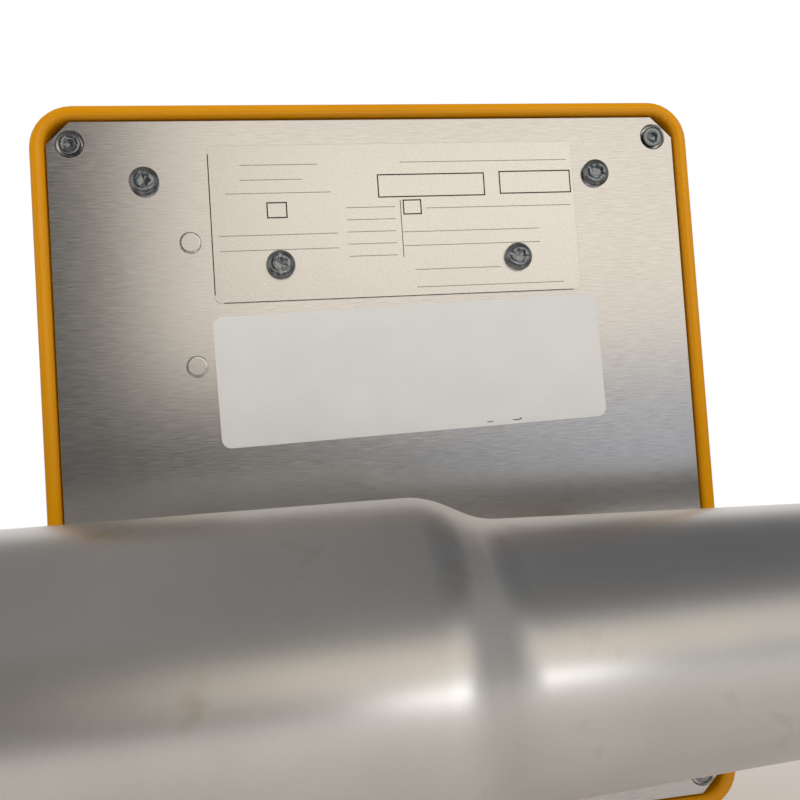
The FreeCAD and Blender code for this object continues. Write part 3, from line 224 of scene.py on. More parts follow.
# Drawn spring wire: bright steel with streaks along the coil.
springWire = metalFinish(
    "springWire", dark="#8f8e8c", light="#c9c8c5", grain=(0.4, 3, 3), blotch=5, blotchTone=0.85, rough=(0.18, 0.3),
    relief=0.002)
# Sintered magnet: dark nickel grey, slightly pitted.
sinteredMagnet = metalFinish(
    "sinteredMagnet", dark="#4c4b4a", light="#66655f", grain=(0.4, 0.4, 0.4), blotch=4, blotchTone=0.8,
    rough=(0.4, 0.55), relief=0.01)
# Turned brass: warm yellow with fine rings.
turnedBrass = metalFinish(
    "turnedBrass", dark="#b08d4a", light="#d6b76f", grain=(3, 0.4, 3), blotch=6, blotchTone=0.88, rough=(0.22, 0.32),
    relief=0.003)
# Milled aluminium sheet of the arm and vane: pale, with short upright strokes.
milledAluminium = metalFinish(
    "milledAluminium", dark="#b9b9b8", light="#d8d8d6", grain=(0.6, 0.6, 4), blotch=8, blotchTone=0.92,
    rough=(0.3, 0.4), relief=0.003)
# White vinyl film: clean, slightly warm, with a weak sheen.
whiteVinyl = plainFinish("whiteVinyl", dark="#e6e4e1", light="#ebe9e6", grain=12, rough=(0.28, 0.36), relief=0.003)
# Black screen ink: thin and matt, so a little grey. It also colours the painted shade lines along the nameplate's
# edges.
screenInk = plainFinish("screenInk", dark="#1d1c1b", light="#2c2a28", grain=0.6, rough=(0.5, 0.6), relief=0.001)
# Thinner grey print for the blank rules.
paleInk = plainFinish("paleInk", dark="#85827d", light="#989590", grain=0.6, rough=(0.5, 0.6), relief=0.001)
# Stoved white dial paint: smooth and almost matt.
dialPaint = plainFinish("dialPaint", dark="#e4e3df", light="#eeede9", grain=1.5, rough=(0.42, 0.5), relief=0.002)
# Black pointer lacquer on sheet: even, with a low gloss.
blackLacquer = plainFinish("blackLacquer", dark="#121212", light="#1d1d1d", grain=0.8, rough=(0.3, 0.4), relief=0.002)
# Nitrile rubber: dark grey with a dusty bloom.
nitrileRubber = plainFinish("nitrileRubber", dark="#1a1a1a", light="#2b2a29", grain=1.2, rough=(0.6, 0.75), relief=0.01)
# Moulded black polyamide: fine spark-eroded grain of about 0.3 mm.
blackPolyamide = plainFinish(
    "blackPolyamide", dark="#161617", light="#262627", grain=0.35, rough=(0.42, 0.55), relief=0.012)
# Soda-lime float glass: clear with a faint green body.
floatGlass = startMaterial("floatGlass", {
    "Base Color": linearColour("#f3faf6"), "Roughness": 0.02, "IOR": 1.52, "Transmission Weight": 1.0})[0]

slotFinish = {
    "tube_steel": satinStainless, "flange_steel": turnedStainless, "turned_steel": turnedStainless,
    "spring_steel": springWire, "magnet": sinteredMagnet, "yellow_paint": yellowEnamel,
    "plate_aluminium": brushedAluminium, "foil": metallisedFilm, "white_film": whiteVinyl,
    "screw_zinc": zincPlatedSteel, "seal_rubber": nitrileRubber, "window_glass": floatGlass,
    "dial_white": dialPaint, "pointer_black": blackLacquer, "brass": turnedBrass,
    "arm_aluminium": milledAluminium, "black_plastic": blackPolyamide,
}
for subpart in frame["record"]["subparts"]:
    node = frame["nodes"][subpart["node"]]
    finish = slotFinish[subpart["material_slot"]]
    if node.data.materials:
        node.data.materials[0] = finish
    else:
        node.data.materials.append(finish)
print("finishes made")


# Angles of equal steps round a circle.
def fullTurn(count):
    return [2 * pi * i / count for i in range(count)]


# Rings of a turned piece: the profile is (distance along the axis, radius), and reach changes a radius by angle.
def turnedRings(profile, origin, direction, segments=96, reach=None):
    axis, side = rootDirections[direction]
    other = axis.cross(side)
    rings = []
    for along, radius in profile:
        hub = Vector(origin) + axis * along
        rings.append([hub + (side * cos(turn) + other * sin(turn)) * (reach(radius, turn) if reach else radius)
                      for turn in fullTurn(segments)])
    return rings


# Rounds the corners of a closed profile; rounds gives a radius by corner number.
def roundCorners(points, rounds, steps=5):
    count, result = len(points), []
    most = 0.49  # share of a side that one round may take
    for i, point in enumerate(points):
        radius = rounds.get(i, 0)
        if radius == 0:
            result.append(tuple(point))
            continue
        here = Vector(point)
        before, after = Vector(points[i - 1]) - here, Vector(points[(i + 1) % count]) - here
        half = before.angle(after) / 2
        trim = min(radius / tan(half), before.length * most, after.length * most)
        radius = trim * tan(half)
        start, end = here + before.normalized() * trim, here + after.normalized() * trim
        centre = here + (before.normalized() + after.normalized()).normalized() * (radius / sin(half))
        first, sweep = start - centre, (start - centre).angle_signed(end - centre)
        for step in range(steps + 1):
            turned = Matrix.Rotation(-sweep * step / steps, 2) @ first
            result.append(tuple(centre + turned))
    return result


def roundedRect(box, radius, inset=0.0, corner=8):
    x0, x1, z0, z1 = box[0] + inset, box[1] - inset, box[2] + inset, box[3] - inset
    r = max(radius - inset, 0.05)  # never quite sharp
    hubs = [(x1 - r, z0 + r, -90), (x1 - r, z1 - r, 0), (x0 + r, z1 - r, 90), (x0 + r, z0 + r, 180)]
    turns = [90 * step / corner for step in range(corner + 1)]
    return [(x + r * cos(radians(start + turn)), z + r * sin(radians(start + turn)))
            for x, z, start in hubs for turn in turns]


def circlePoints(x, z, radius, count=32):
    return [(x + radius * cos(turn), z + radius * sin(turn)) for turn in fullTurn(count)]


# Turns an outline about its own origin and sets it at the centre.
def turnPoints(points, centre, degrees):
    c, s = cos(radians(degrees)), sin(radians(degrees))
    return [(centre[0] + x * c + z * s, centre[1] - x * s + z * c) for x, z in points]


def atDepth(points, depth):
    return [Vector((x, -depth, z)) for x, z in points]


def joinLoops(bm, first, second):
    for i in range(len(first)):
        j = (i + 1) % len(first)
        bm.faces.new((first[i], first[j], second[j], second[i]))


def loft(rings, closed=False, bm=None, start=middle):
    bm = bm or bmesh.new()
    loops = [[bm.verts.new(toFrame(point, start)) for point in ring] for ring in rings]
    for first, second in zip(loops, loops[1:] + (loops[:1] if closed else [])):
        joinLoops(bm, first, second)
    if not closed:
        bm.faces.new(loops[0])
        bm.faces.new(loops[-1])
    return bm


# A flat piece with holes. The outline and each hole are lists of (points, depth) from its back face to its front.
def sheetPiece(outline, holes=()):
    bm = bmesh.new()
    ends = ([], [])
    for wall in [outline, *holes]:
        loops = [[bm.verts.new(toFrame(point)) for point in atDepth(points, depth)] for points, depth in wall]
        for first, second in zip(loops, loops[1:]):
            joinLoops(bm, first, second)
        for edges, loop in zip(ends, (loops[0], loops[-1])):
            for i in range(len(loop)):
                pair = (loop[i], loop[(i + 1) % len(loop)])
                edges.append(bm.edges.get(pair) or bm.edges.new(pair))
    for edges in ends:
        bmesh.ops.triangle_fill(bm, use_beauty=True, use_dissolve=False, edges=edges)
    return bm


def addObject(name, data):
    obj = bpy.data.objects.new(name, data)
    scene.collection.objects.link(obj)
    return obj


def makeObject(name, bm, material=None):
    bmesh.ops.remove_doubles(bm, verts=bm.verts, dist=1e-7)
    bmesh.ops.recalc_face_normals(bm, faces=bm.faces)
    mesh = bpy.data.meshes.new(name)
    bm.to_mesh(mesh)
    bm.free()
    if material:
        mesh.materials.append(material)
    return addObject(name, mesh)


def turnedBar(profile, origin, direction, segments):
    return makeObject("bar", loft(turnedRings(profile, origin, direction, segments)))


def bake(obj):
    graph = bpy.context.evaluated_depsgraph_get()
    mesh = bpy.data.meshes.new_from_object(obj.evaluated_get(graph))
    obj.modifiers.clear()
    obj.data = mesh


def shadeSmooth(obj, sharpAngle=32):
    obj.data.shade_smooth()
    obj.data.set_sharp_from_angle(angle=radians(sharpAngle))


def smoothNormals(obj, sharpAngle=32):
    shadeSmooth(obj, sharpAngle)
    obj.modifiers.new("weighted", "WEIGHTED_NORMAL").keep_sharp = True
    bake(obj)
    return obj


def softenEdges(obj, width):
    soften = obj.modifiers.new("soften", "BEVEL")
    soften.width, soften.segments, soften.limit_method = width * mm, 2, "ANGLE"
    bake(obj)


def combine(obj, tools, operation):
    for tool in tools:
        change = obj.modifiers.new(operation, "BOOLEAN")
        change.object, change.operation, change.solver = tool, operation, "EXACT"
    bake(obj)
    for tool in tools:
        bpy.data.objects.remove(tool)


def finishPiece(obj, nodes=(), body="meter"):
    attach(obj, body)
    if nodes:
        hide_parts(*nodes)


# A piece that is complete as it is made: its finish is the one that the slot has.
def keepPiece(name, bm, slotName, nodes, body="meter"):
    finishPiece(smoothNormals(makeObject(name, bm, slotFinish[slotName])), nodes, body)


def startTree(name, inputs):
    tree = bpy.data.node_groups.new(name, "GeometryNodeTree")
    for label, kind in inputs.items():
        tree.interface.new_socket(label, in_out="INPUT", socket_type="NodeSocket" + kind)
    tree.interface.new_socket("Geometry", in_out="OUTPUT", socket_type="NodeSocketGeometry")
    add = partial(addNode, tree)
    return tree, add, add("NodeGroupInput").outputs


def closeTree(add, geometry, material):
    real = add("GeometryNodeRealizeInstances", {0: geometry})
    painted = add("GeometryNodeSetMaterial", {"Geometry": real, "Material": material})
    add("NodeGroupOutput", {0: painted})


# Runs a tree on a mesh of points, with named numbers on its points, and keeps the result as a plain mesh.
def runTree(name, tree, values, points=((0, 0, 0),), numbers=()):
    mesh = bpy.data.meshes.new(name)
    mesh.from_pydata([toFrame(point) for point in points], [], [])
    for label, column in dict(numbers).items():
        mesh.attributes.new(label, "FLOAT", "POINT").data.foreach_set("value", column)
    obj = addObject(name, mesh)
    modifier = obj.modifiers.new(name, "NODES")
    modifier.node_group = tree
    for item in tree.interface.items_tree:
        if item.in_out == "INPUT" and item.name in values:
            modifier[item.identifier] = values[item.name]
    bake(obj)
    return obj


def tube():
    # Inlet, cone, S-neck and outlet in one wall, with the neck's two arcs.
    size = {"coneStart": -95.0, "coneEnd": -5.3, "neckEnd": 5.0, "coneRadius": 25.05, "wall": 2.6, "neckRound": 16.0,
            "coneRound": 60.0, "edge": 0.4, "segments": 192}
    outside = [(tubeStart, inletRadius), (size["coneStart"], inletRadius), (size["coneEnd"], size["coneRadius"]),
               (size["neckEnd"], outletRadius), (tubeEnd, outletRadius)]
    inside = [(x, r - size["wall"]) for x, r in outside[::-1]]
    bends = [size[key] for key in ("edge", "coneRound", "neckRound", "neckRound", "edge")]
    profile = roundCorners(outside + inside, dict(enumerate(bends + bends[::-1])), steps=12)
    rings = turnedRings(profile, (0, 0, 0), "flow", size["segments"])
    keepPiece("metering_tube_shell", loft(rings, closed=True), "tube_steel", ["metering_tube"])


def flange(name, node, tubeRadius, faceAt, towards):
    # A slip-on flange: raised face, rounded rim, chamfered bolt holes and a rippled weld behind it.
    size = {"raised": 3.0, "raisedRadius": 51.0, "rim": 82.5, "back": 20.0, "weld": 5.0, "gap": 0.1, "bolts": 4,
            "circle": 62.5, "hole": 9.0, "holeSides": 48, "bevel": 0.8, "overshoot": 1.0, "edge": 1.2,
            "faceEdge": 0.8, "weldEdge": 0.6, "bead": 0.5, "beadSteps": 6, "ripples": 46, "rippleShare": 0.0125,
            "clear": 0.05, "segments": 184}
    raised, rim, back, hole = size["raised"], size["rim"], size["back"], size["hole"]
    bore = tubeRadius + size["gap"]
    weldRoot, weldTip = (back, bore + size["weld"]), (back + size["weld"], bore)
    profile = [(0, bore), (0, size["raisedRadius"]), (raised, size["raisedRadius"]), (raised, rim), (back, rim),
               weldRoot, weldTip]
    rounds = {1: size["faceEdge"], 2: size["faceEdge"], 3: size["edge"], 4: size["edge"], 5: size["weldEdge"]}
    profile = roundCorners(profile, rounds)
    for step in range(1, size["beadSteps"]):
        share = step / size["beadSteps"]
        along, radius = Vector(weldRoot).lerp(Vector(weldTip), share)
        profile.insert(-1, (along, radius + size["bead"] * sin(pi * step / size["beadSteps"])))
    profile = [(faceAt + towards * along, radius) for along, radius in profile]
    rings = turnedRings(profile, (0, 0, 0), "flow", size["segments"])
    piece = makeObject(name, loft(rings, closed=True), turnedStainless)

    backPlane = faceAt + towards * (back + size["clear"])
    for vertex in piece.data.vertices:  # ripples on the weld only
        x, y, z = vertex.co
        if (x / mm - middle - backPlane) * towards > 0:
            push = 1 - size["rippleShare"] * (1 + cos(atan2(z, y) * size["ripples"]))
            vertex.co = (x, y * push, z * push)
    shoulder, far = faceAt + towards * raised, faceAt + towards * back
    over, bevel, flare = towards * size["overshoot"], towards * size["bevel"], hole + size["bevel"] + size["overshoot"]
    drill = [(shoulder - over, flare), (shoulder + bevel, hole), (far - bevel, hole), (far + over, flare)]
    cutters = []
    for i in range(size["bolts"]):
        turn = radians((i + 0.5) * 360 / size["bolts"])
        origin = (0, size["circle"] * cos(turn), size["circle"] * sin(turn))
        cutters.append(turnedBar(drill, origin, "flow", size["holeSides"]))
    combine(piece, cutters, "DIFFERENCE")
    finishPiece(smoothNormals(piece), [node])


def housing():
    # The cast hood as rings of rounded rectangles: ledge, full-round rim, wall, front round, window and inside.
    size = {"box": (-89.5, 89.5, -67.5, 131.5), "corner": 11.0, "rimWall": 3.6, "rimRound": 1.7, "ledge": 2.4,
            "ledgeAt": 72.0, "rimAt": 66.5, "frontAt": 146.5, "frontWall": 4.0, "frontRound": 6.0,
            "window": (-69.0, 69.0, 6.0, 110.0), "windowCorner": 10.0, "windowEdge": 0.8, "sharpAngle": 28}
    box, corner, wall, ledgeAt, front = (size[key] for key in ("box", "corner", "rimWall", "ledgeAt", "frontAt"))
    bend, rounds, edge = size["rimRound"], size["frontRound"], size["windowEdge"]
    inner = wall + size["ledge"]
    insideAt = front - size["frontWall"]
    rimCentre = size["rimAt"] + bend
    turns = [radians(15 * step) for step in range(7)]
    sections = [(inner, ledgeAt), (wall, ledgeAt)]
    sections += [(wall - bend + bend * cos(t), rimCentre - bend * sin(t)) for t in turns]
    sections += [(bend - bend * sin(t), rimCentre - bend * cos(t)) for t in turns]
    sections += [(rounds - rounds * cos(t), front - rounds + rounds * sin(t)) for t in turns]
    rings = [atDepth(roundedRect(box, corner, inset), depth) for inset, depth in sections]
    opening = [(-edge + edge * sin(t), front - edge + edge * cos(t)) for t in turns[::2]] + [(0.0, insideAt)]
    rings += [atDepth(roundedRect(size["window"], size["windowCorner"], inset), depth) for inset, depth in opening]
    rings.append(atDepth(roundedRect(box, corner, inner), insideAt))
    piece = makeObject("cast_housing", loft(rings, closed=True), yellowEnamel)

    # Posts for the corner screws and bosses for the window screws, each with a blind hole, and the gland's hole.
    lap, clear = 1, 0.02  # how far a tool passes a face or stays clear of it
    post = {"x": cornerX, "z": cornerZ, "from": ledgeAt + clear, "radius": 5.5, "sides": 40,
            "hole": (ledgeAt - lap, ledgeAt + 12)}
    boss = {"x": (-45.0, 45.0), "z": (120.5, -4.5), "from": 137.5, "radius": 3.5, "sides": 32,
            "hole": (136.5, insideAt)}
    threadRadius, threadSides, glandHole, glandSides = 1.6, 20, [(-70.0, 10.3), (-58.0, 10.3)], 48
    added, drills = [], []
    for side in (0, 1):
        for kind in (post, boss):
            for z in kind["z"]:
                origin = (kind["x"][side], 0, z)
                bar = [(-depth, kind["radius"]) for depth in (kind["from"], insideAt + lap)]
                added.append(turnedBar(bar, origin, "back", kind["sides"]))
                hole = [(-depth, threadRadius) for depth in kind["hole"]]
                drills.append(turnedBar(hole, origin, "back", threadSides))
    drills.append(turnedBar(glandHole, glandSeat, "up", glandSides))
    combine(piece, added, "UNION")
    combine(piece, drills, "DIFFERENCE")
    finishPiece(smoothNormals(piece, size["sharpAngle"]), ["housing"])


def backPlate():
    # A sheared plate with bevelled corners, tiny broken edges, counterbored corner holes and drilled holes.
    size = {"left": -85.5, "right": 85.5, "chamfer": 6.0, "thick": 3.0, "edge": 0.25, "edgeStep": 0.3,
            "cornerHole": 1.8, "counterbore": 3.3, "bevel": 0.4, "bevelDeep": 0.44, "screwHole": 2.3, "studHole": 2.1,
            "pillarHole": 3.3, "holeSides": 24}

    def outline(inset):
        c = size["chamfer"] - inset * (2 - sqrt(2))
        x0, x1, z0, z1 = size["left"] + inset, size["right"] - inset, plateBottom + inset, plateTop - inset
        return [(x0 + c, z0), (x1 - c, z0), (x1, z0 + c), (x1, z1 - c), (x1 - c, z1), (x0 + c, z1), (x0, z1 - c),
                (x0, z0 + c)]

    back, front, edge = plateFace, plateFace + size["thick"], size["edge"]
    part = edge * size["edgeStep"]
    wall = [(outline(edge), back), (outline(part), back + part), (outline(0), back + edge), (outline(0), front - edge),
            (outline(edge), front)]
    bore, drilled, bevel = size["counterbore"], size["cornerHole"], size["bevel"]
    steps = [(bore + bevel, 0), (bore, size["bevelDeep"]), (bore, counterDepth), (drilled, counterDepth),
             (drilled, size["thick"])]
    holes = [[(circlePoints(x, z, r), back + depth) for r, depth in steps] for x in cornerX for z in cornerZ]
    plain = [(x, z, size["screwHole"]) for x in postX for z in postZ]
    plain += [(x, chassisZ, size["screwHole"]) for x in chassisX]
    plain += [(studX, z, size["studHole"]) for z in studZ]
    plain += [(x, 0.0, size["pillarHole"]) for x in pillarX]
    holes += [[(circlePoints(x, z, r, size["holeSides"]), depth) for depth in (back, front)] for x, z, r in plain]
    keepPiece("brushed_back_plate", sheetPiece(wall, holes), "plate_aluminium", ["back_plate"])


def nameplate():
    # Thin film plate with die-cut corners, and its print: empty frames and blank rules; dark lines along two of its
    # edges are painted shade.
    size = {"box": (-54.9, 45.3, 78.6, 120.6), "corner": 2.0, "edge": 0.06, "hole": 2.3}
    back, front, edge = plateFace - filmThick, plateFace, size["edge"]
    wall = [(roundedRect(size["box"], size["corner"], inset), depth)
            for inset, depth in ((edge, back), (0, back + edge), (0, front))]
    holes = [[(circlePoints(x, chassisZ, size["hole"]), depth) for depth in (back, front)] for x in chassisX]
    keepPiece("film_nameplate", sheetPiece(wall, holes), "foil", ["nameplate"])

    # Frames are (left, right, low, high), rules are (left, right, height), and bars are (x, z, width, height).
    # The scuffs are grime along the label's lower edge.
    printed = {"frames": ((-29.1, 0.4, 105.9, 112.0), (-53.9, -33.6, 106.2, 112.3), (25.3, 30.4, 101.0, 105.0),
                          (-11.0, -6.2, 101.1, 104.9)),
               "frameLine": 0.34, "ruleLine": 0.2, "lift": 0.012,
               "rules": [(12.0, 43.2, 96.4), (12.0, 43.2, 92.4), (16.4, 37.0, 115.2), (20.7, 37.2, 111.2),
                         (13.2, 41.1, 107.6), (-53.1, -5.8, 115.4), (-53.5, -12.2, 102.6), (-44.0, -5.7, 96.2),
                         (-44.0, -5.7, 92.4), (-32.1, -8.3, 85.8), (-50.1, -8.5, 81.0)]
                        + [(-3.8, 9.4, 103.2 - 3.3 * i) for i in range(5)],
               "divider": (-5.4, 97.1, 0.2, 15.8),
               # The edge shade lines are painted shade: dark bars along the nameplate's edges at x 45.1 and z 78.8,
               # standing for the shadow of its raised edge.
               "edgeShadeLines": [(45.12, 99.6, 0.26, 37.4), (-4.8, 78.76, 95.6, 0.2)],
               "scuffs": [(-26.2, 43.3, 1.7, 0.22), (-33.6, 43.45, 2.0, 0.25), (-34.8, 43.7, 0.5, 0.4)]}
    line, bars = printed["frameLine"], []
    for x0, x1, z0, z1 in printed["frames"]:
        bars += [((x0 + x1) / 2, z, x1 - x0 + line, line) for z in (z0, z1)]
        bars += [(x, (z0 + z1) / 2, line, z1 - z0) for x in (x0, x1)]
    bars += [printed["divider"]] + printed["edgeShadeLines"]
    rules = [((x0 + x1) / 2, z, x1 - x0, printed["ruleLine"]) for x0, x1, z in printed["rules"]]

    # Bars of print and of painted shade: one flat tile for each point, as wide and tall as the point says.
    tree, add, given = startTree("printedBars", {"Geometry": "Geometry", "Ink": "Material"})
    tile = add("GeometryNodeMeshGrid", {"Size X": 1.0, "Size Y": 1.0, "Vertices X": 2, "Vertices Y": 2})
    wide, tall = (add("GeometryNodeInputNamedAttribute", {"Name": label}, data_type="FLOAT")
                  for label in ("wide", "tall"))
    scaled = add("ShaderNodeCombineXYZ", {0: wide, 1: tall, 2: 1.0})
    spread = add("GeometryNodeInstanceOnPoints", {
        "Points": given["Geometry"], "Instance": tile, "Scale": scaled, "Rotation": (-pi / 2, 0, 0)})
    closeTree(add, spread, given["Ink"])
    # The frames' bars also hold the dark edge lines, which are painted shade.
    for name, group, ink, face in (("printed_frames", bars, screenInk, back), ("blank_rules", rules, paleInk, back),
                                   ("label_scuffs", printed["scuffs"], screenInk, plateFace - labelThick)):
        piece = runTree(name, tree, {"Ink": ink}, [(x, -face + printed["lift"], z) for x, z, _, _ in group],
                        {"wide": [w * mm for _, _, w, _ in group], "tall": [t * mm for _, _, _, t in group]})
        finishPiece(piece)


def tagLabel():
    # White vinyl label, stuck on a little askew.
    size = {"centre": (-6.7, 59.0), "wide": 105.2, "tall": 34.4, "corner": 2.5, "tilt": 1.2, "edge": 0.04}
    across, rise, edge = size["wide"] / 2, size["tall"] / 2, size["edge"]
    back = plateFace - labelThick
    wall = []
    for inset, depth in ((edge, back), (0, back + edge), (0, plateFace)):
        flat = roundedRect((-across, across, -rise, rise), size["corner"], inset)
        wall.append((turnPoints(flat, size["centre"], size["tilt"]), depth))
    keepPiece("vinyl_label", sheetPiece(wall), "white_film", ["tag_label"])


def hexReach(flat):
    # radius of a hexagon whose half width across flats is given, with a corner at angle 0
    return lambda turn: flat / cos(turn % (pi / 3) - pi / 6)


# A screw's shank with its tapered tip, up to the rim of the head's underside.
def shankProfile(length, shank, head, tip=0.8, taper=0.4):
    return [(-length, shank * tip), (-length + taper, shank), (0, shank), (0, head)]


# The round between a head's side and its top, at the given angles in degrees.
def headEdge(tall, head, edge, angles):
    return [(tall - edge + edge * sin(radians(a)), head - edge + edge * cos(radians(a))) for a in angles]


def capScrew():
    # Small socket-head cap screw, its axis along +Y and its seat at the origin.
    size = {"head": 2.75, "tall": 2.0, "bevel": 0.3, "key": 1.25, "mouth": 1.32, "keyBevel": 0.18, "keyDepth": 1.1,
            "point": 0.35, "tip": 0.1, "shank": 1.5, "long": 13.9, "sides": 48}
    tall, floor = size["tall"], size["tall"] - size["keyDepth"]
    hexagon = hexReach(size["key"])
    outside = shankProfile(size["long"], size["shank"], size["head"])
    outside += headEdge(tall, size["head"], size["bevel"], (0, 30, 60, 90)) + [(tall, size["key"] * size["mouth"])]
    rings = turnedRings(outside, (0, 0, 0), "back", size["sides"])
    rings += turnedRings([(tall - size["keyBevel"], 1.0), (floor, 1.0)], (0, 0, 0), "back", size["sides"],
                         lambda r, turn: hexagon(turn))
    rings += turnedRings([(floor - size["point"], size["tip"])], (0, 0, 0), "back", size["sides"])
    return makeObject("cap_screw_shape", loft(rings, start=0), zincPlatedSteel)


def buttonScrew(length):
    # Button head with a six-lobe recess crossed by a slot.
    size = {"base": 3.8, "rim": 0.9, "rimEdge": 0.1, "tall": 2.5, "flat": 1.9, "domePower": 0.72,
            "domeRows": (0.97, 0.85, 0.68, 0.5, 0.33, 0.16, 0.05, 0.0), "lobe": 1.85, "wave": 0.22, "slotHalf": 0.5,
            "slotEnd": 2.95, "slotMargin": 0.05, "slotDepth": 0.75, "depth": 1.35, "edgeIn": 0.2, "edgeDown": 0.18,
            "wallIn": 0.24, "wallDown": 0.25, "slotIn": 0.25, "floorIn": 0.3, "tip": 0.12, "point": 0.25,
            "shank": 2.0, "taper": 0.5, "sides": 120}
    base, rim, tall, flat = size["base"], size["rim"], size["tall"], size["flat"]
    floor = tall - size["depth"]
    axis, side = rootDirections["back"]
    other = axis.cross(side)

    def dome(radius):
        u = max(0.0, (radius - flat) / (base - flat))
        return rim + (tall - rim) * max(0.0, 1 - u * u) ** size["domePower"]

    def lobe(turn):
        return size["lobe"] + size["wave"] * cos(6 * turn)

    def recess(turn):
        slot = min(size["slotEnd"], size["slotHalf"] / max(abs(sin(turn)), 1e-4))
        return max(lobe(turn), slot)

    def floorAt(turn):
        return tall - (size["slotDepth"] if recess(turn) > lobe(turn) + size["slotMargin"] else size["depth"])

    def ring(radiusAt, heightAt):
        points = []
        for turn in fullTurn(size["sides"]):
            r = radiusAt(turn)
            # the slot lies along local +X, which is the second direction here
            points.append((side * sin(turn) + other * cos(turn)) * r + axis * heightAt(turn, r))
        return points[0:1] + points[:0:-1]

    profile = shankProfile(length, size["shank"], base, taper=size["taper"]) + [(rim - size["rimEdge"], base)]
    rings = turnedRings(profile, (0, 0, 0), "back", size["sides"])
    rows = [(lambda t, s=share: recess(t) + (base - recess(t)) * s, lambda t, r: dome(r)) for share in size["domeRows"]]
    rows += [(lambda t: recess(t) - size["edgeIn"], lambda t, r: dome(r) - size["edgeDown"]),
             (lambda t: recess(t) - size["wallIn"], lambda t, r: min(floorAt(t), dome(r) - size["wallDown"])),
             (lambda t: lobe(t) - size["slotIn"], lambda t, r: floorAt(t)),
             (lambda t: lobe(t) - size["floorIn"], lambda t, r: floor),
             (lambda t: size["tip"], lambda t, r: floor - size["point"])]
    rings += [ring(radiusAt, heightAt) for radiusAt, heightAt in rows]
    return makeObject("button_screw_shape", loft(rings, start=0), zincPlatedSteel)


def studHead():
    # Flat head of a stud that is pressed into the plate, with its shank.
    size = {"head": 2.85, "tall": 0.6, "edge": 0.35, "shank": 2.0, "tip": 0.85, "long": 11.0, "sides": 48}
    head, tall, edge = size["head"], size["tall"], size["edge"]
    profile = shankProfile(size["long"], size["shank"], head, size["tip"])
    profile += headEdge(tall, head, edge, (0, 30, 60, 90)) + [(tall, head - edge * 2)]
    rings = turnedRings(profile, (0, 0, 0), "back", size["sides"])
    return makeObject("stud_shape", loft(rings, start=0), brushedAluminium)


def fasteners():
    # Copies of one fastener, each at its seat and turned on its own axis by an angle in degrees.
    tree, add, given = startTree("placeFasteners", {
        "Geometry": "Geometry", "Fastener": "Object", "Size": "Float", "Finish": "Material"})
    shape = add("GeometryNodeObjectInfo", {"Object": given["Fastener"]})
    turn = add("GeometryNodeInputNamedAttribute", {"Name": "turn"}, data_type="FLOAT")
    facing = add("ShaderNodeCombineXYZ", {1: turn})
    copies = add("GeometryNodeInstanceOnPoints", {
        "Points": given["Geometry"], "Instance": shape.outputs["Geometry"], "Rotation": facing, "Scale": given["Size"]})
    closeTree(add, copies, given["Finish"])

    postLong, chassisLong = 14.7, 9.3
    kinds = (
        ("corner_cap_screws", capScrew(), "screw_zinc", ["corner_screw_%d" % i for i in (1, 2, 3, 4)],
         [(x, plateFace + counterDepth, z) for z in cornerZ for x in cornerX], (12, 40, 25, 5)),
        ("post_button_screws", buttonScrew(postLong), "screw_zinc", ["dial_post_screw_%d" % i for i in (1, 2, 3, 4)],
         [(x, plateFace, z) for z in postZ for x in postX], (30, 70, 55, 10)),
        ("chassis_button_screws", buttonScrew(chassisLong), "screw_zinc", ["chassis_screws"],
         [(x, plateFace - filmThick, chassisZ) for x in chassisX], (15, 90)),
        ("pressed_studs", studHead(), "plate_aluminium", ["clinch_stud_1", "clinch_stud_2"],
         [(studX, plateFace, z) for z in studZ], (0, 0)),
    )
    for name, fastener, slotName, nodes, seats, turns in kinds:
        values = {"Fastener": fastener, "Size": 1.0, "Finish": slotFinish[slotName]}
        piece = runTree(name, tree, values, [(x, -depth, z) for x, depth, z in seats],
                        {"turn": [-radians(angle) for angle in turns]})
        shadeSmooth(piece)
        finishPiece(piece, nodes)
        bpy.data.objects.remove(fastener)


def pillars():
    # Round pillars from the tube to the plate, each with a weld fillet that follows the tube.
    size = {"radius": 8.0, "sides": 64, "edge": 0.6, "sunk": 1.7, "bead": 1.6, "beadSides": 12, "steps": 72,
            "ripples": 24, "ripple": 0.06, "tubeRadius": (23.282, outletRadius)}
    for end, x, tubeRadius in zip(("inlet", "outlet"), pillarX, size["tubeRadius"]):
        radius = size["radius"]
        profile = [(size["sunk"] - tubeRadius, radius), (-plateFace + size["edge"], radius),
                   (-plateFace, radius - size["edge"])]
        bm = loft(turnedRings(profile, (x, 0, 0), "back", size["sides"]))
        rings = []
        for turn in fullTurn(size["steps"]):
            out = Vector((cos(turn), 0, sin(turn)))
            seat = sqrt(tubeRadius ** 2 - (radius * sin(turn)) ** 2)
            centre = Vector((x, -seat, 0)) + out * radius
            bulge = size["bead"] * (1 + size["ripple"] * cos(turn * size["ripples"]))
            rings.append([centre + out * (bulge * cos(a)) + Vector((0, -1, 0)) * (bulge * sin(a))
                          for a in fullTurn(size["beadSides"])])
        keepPiece(end + "_pillar_bar", loft(rings, closed=True, bm=bm), "tube_steel", [end + "_pillar"])


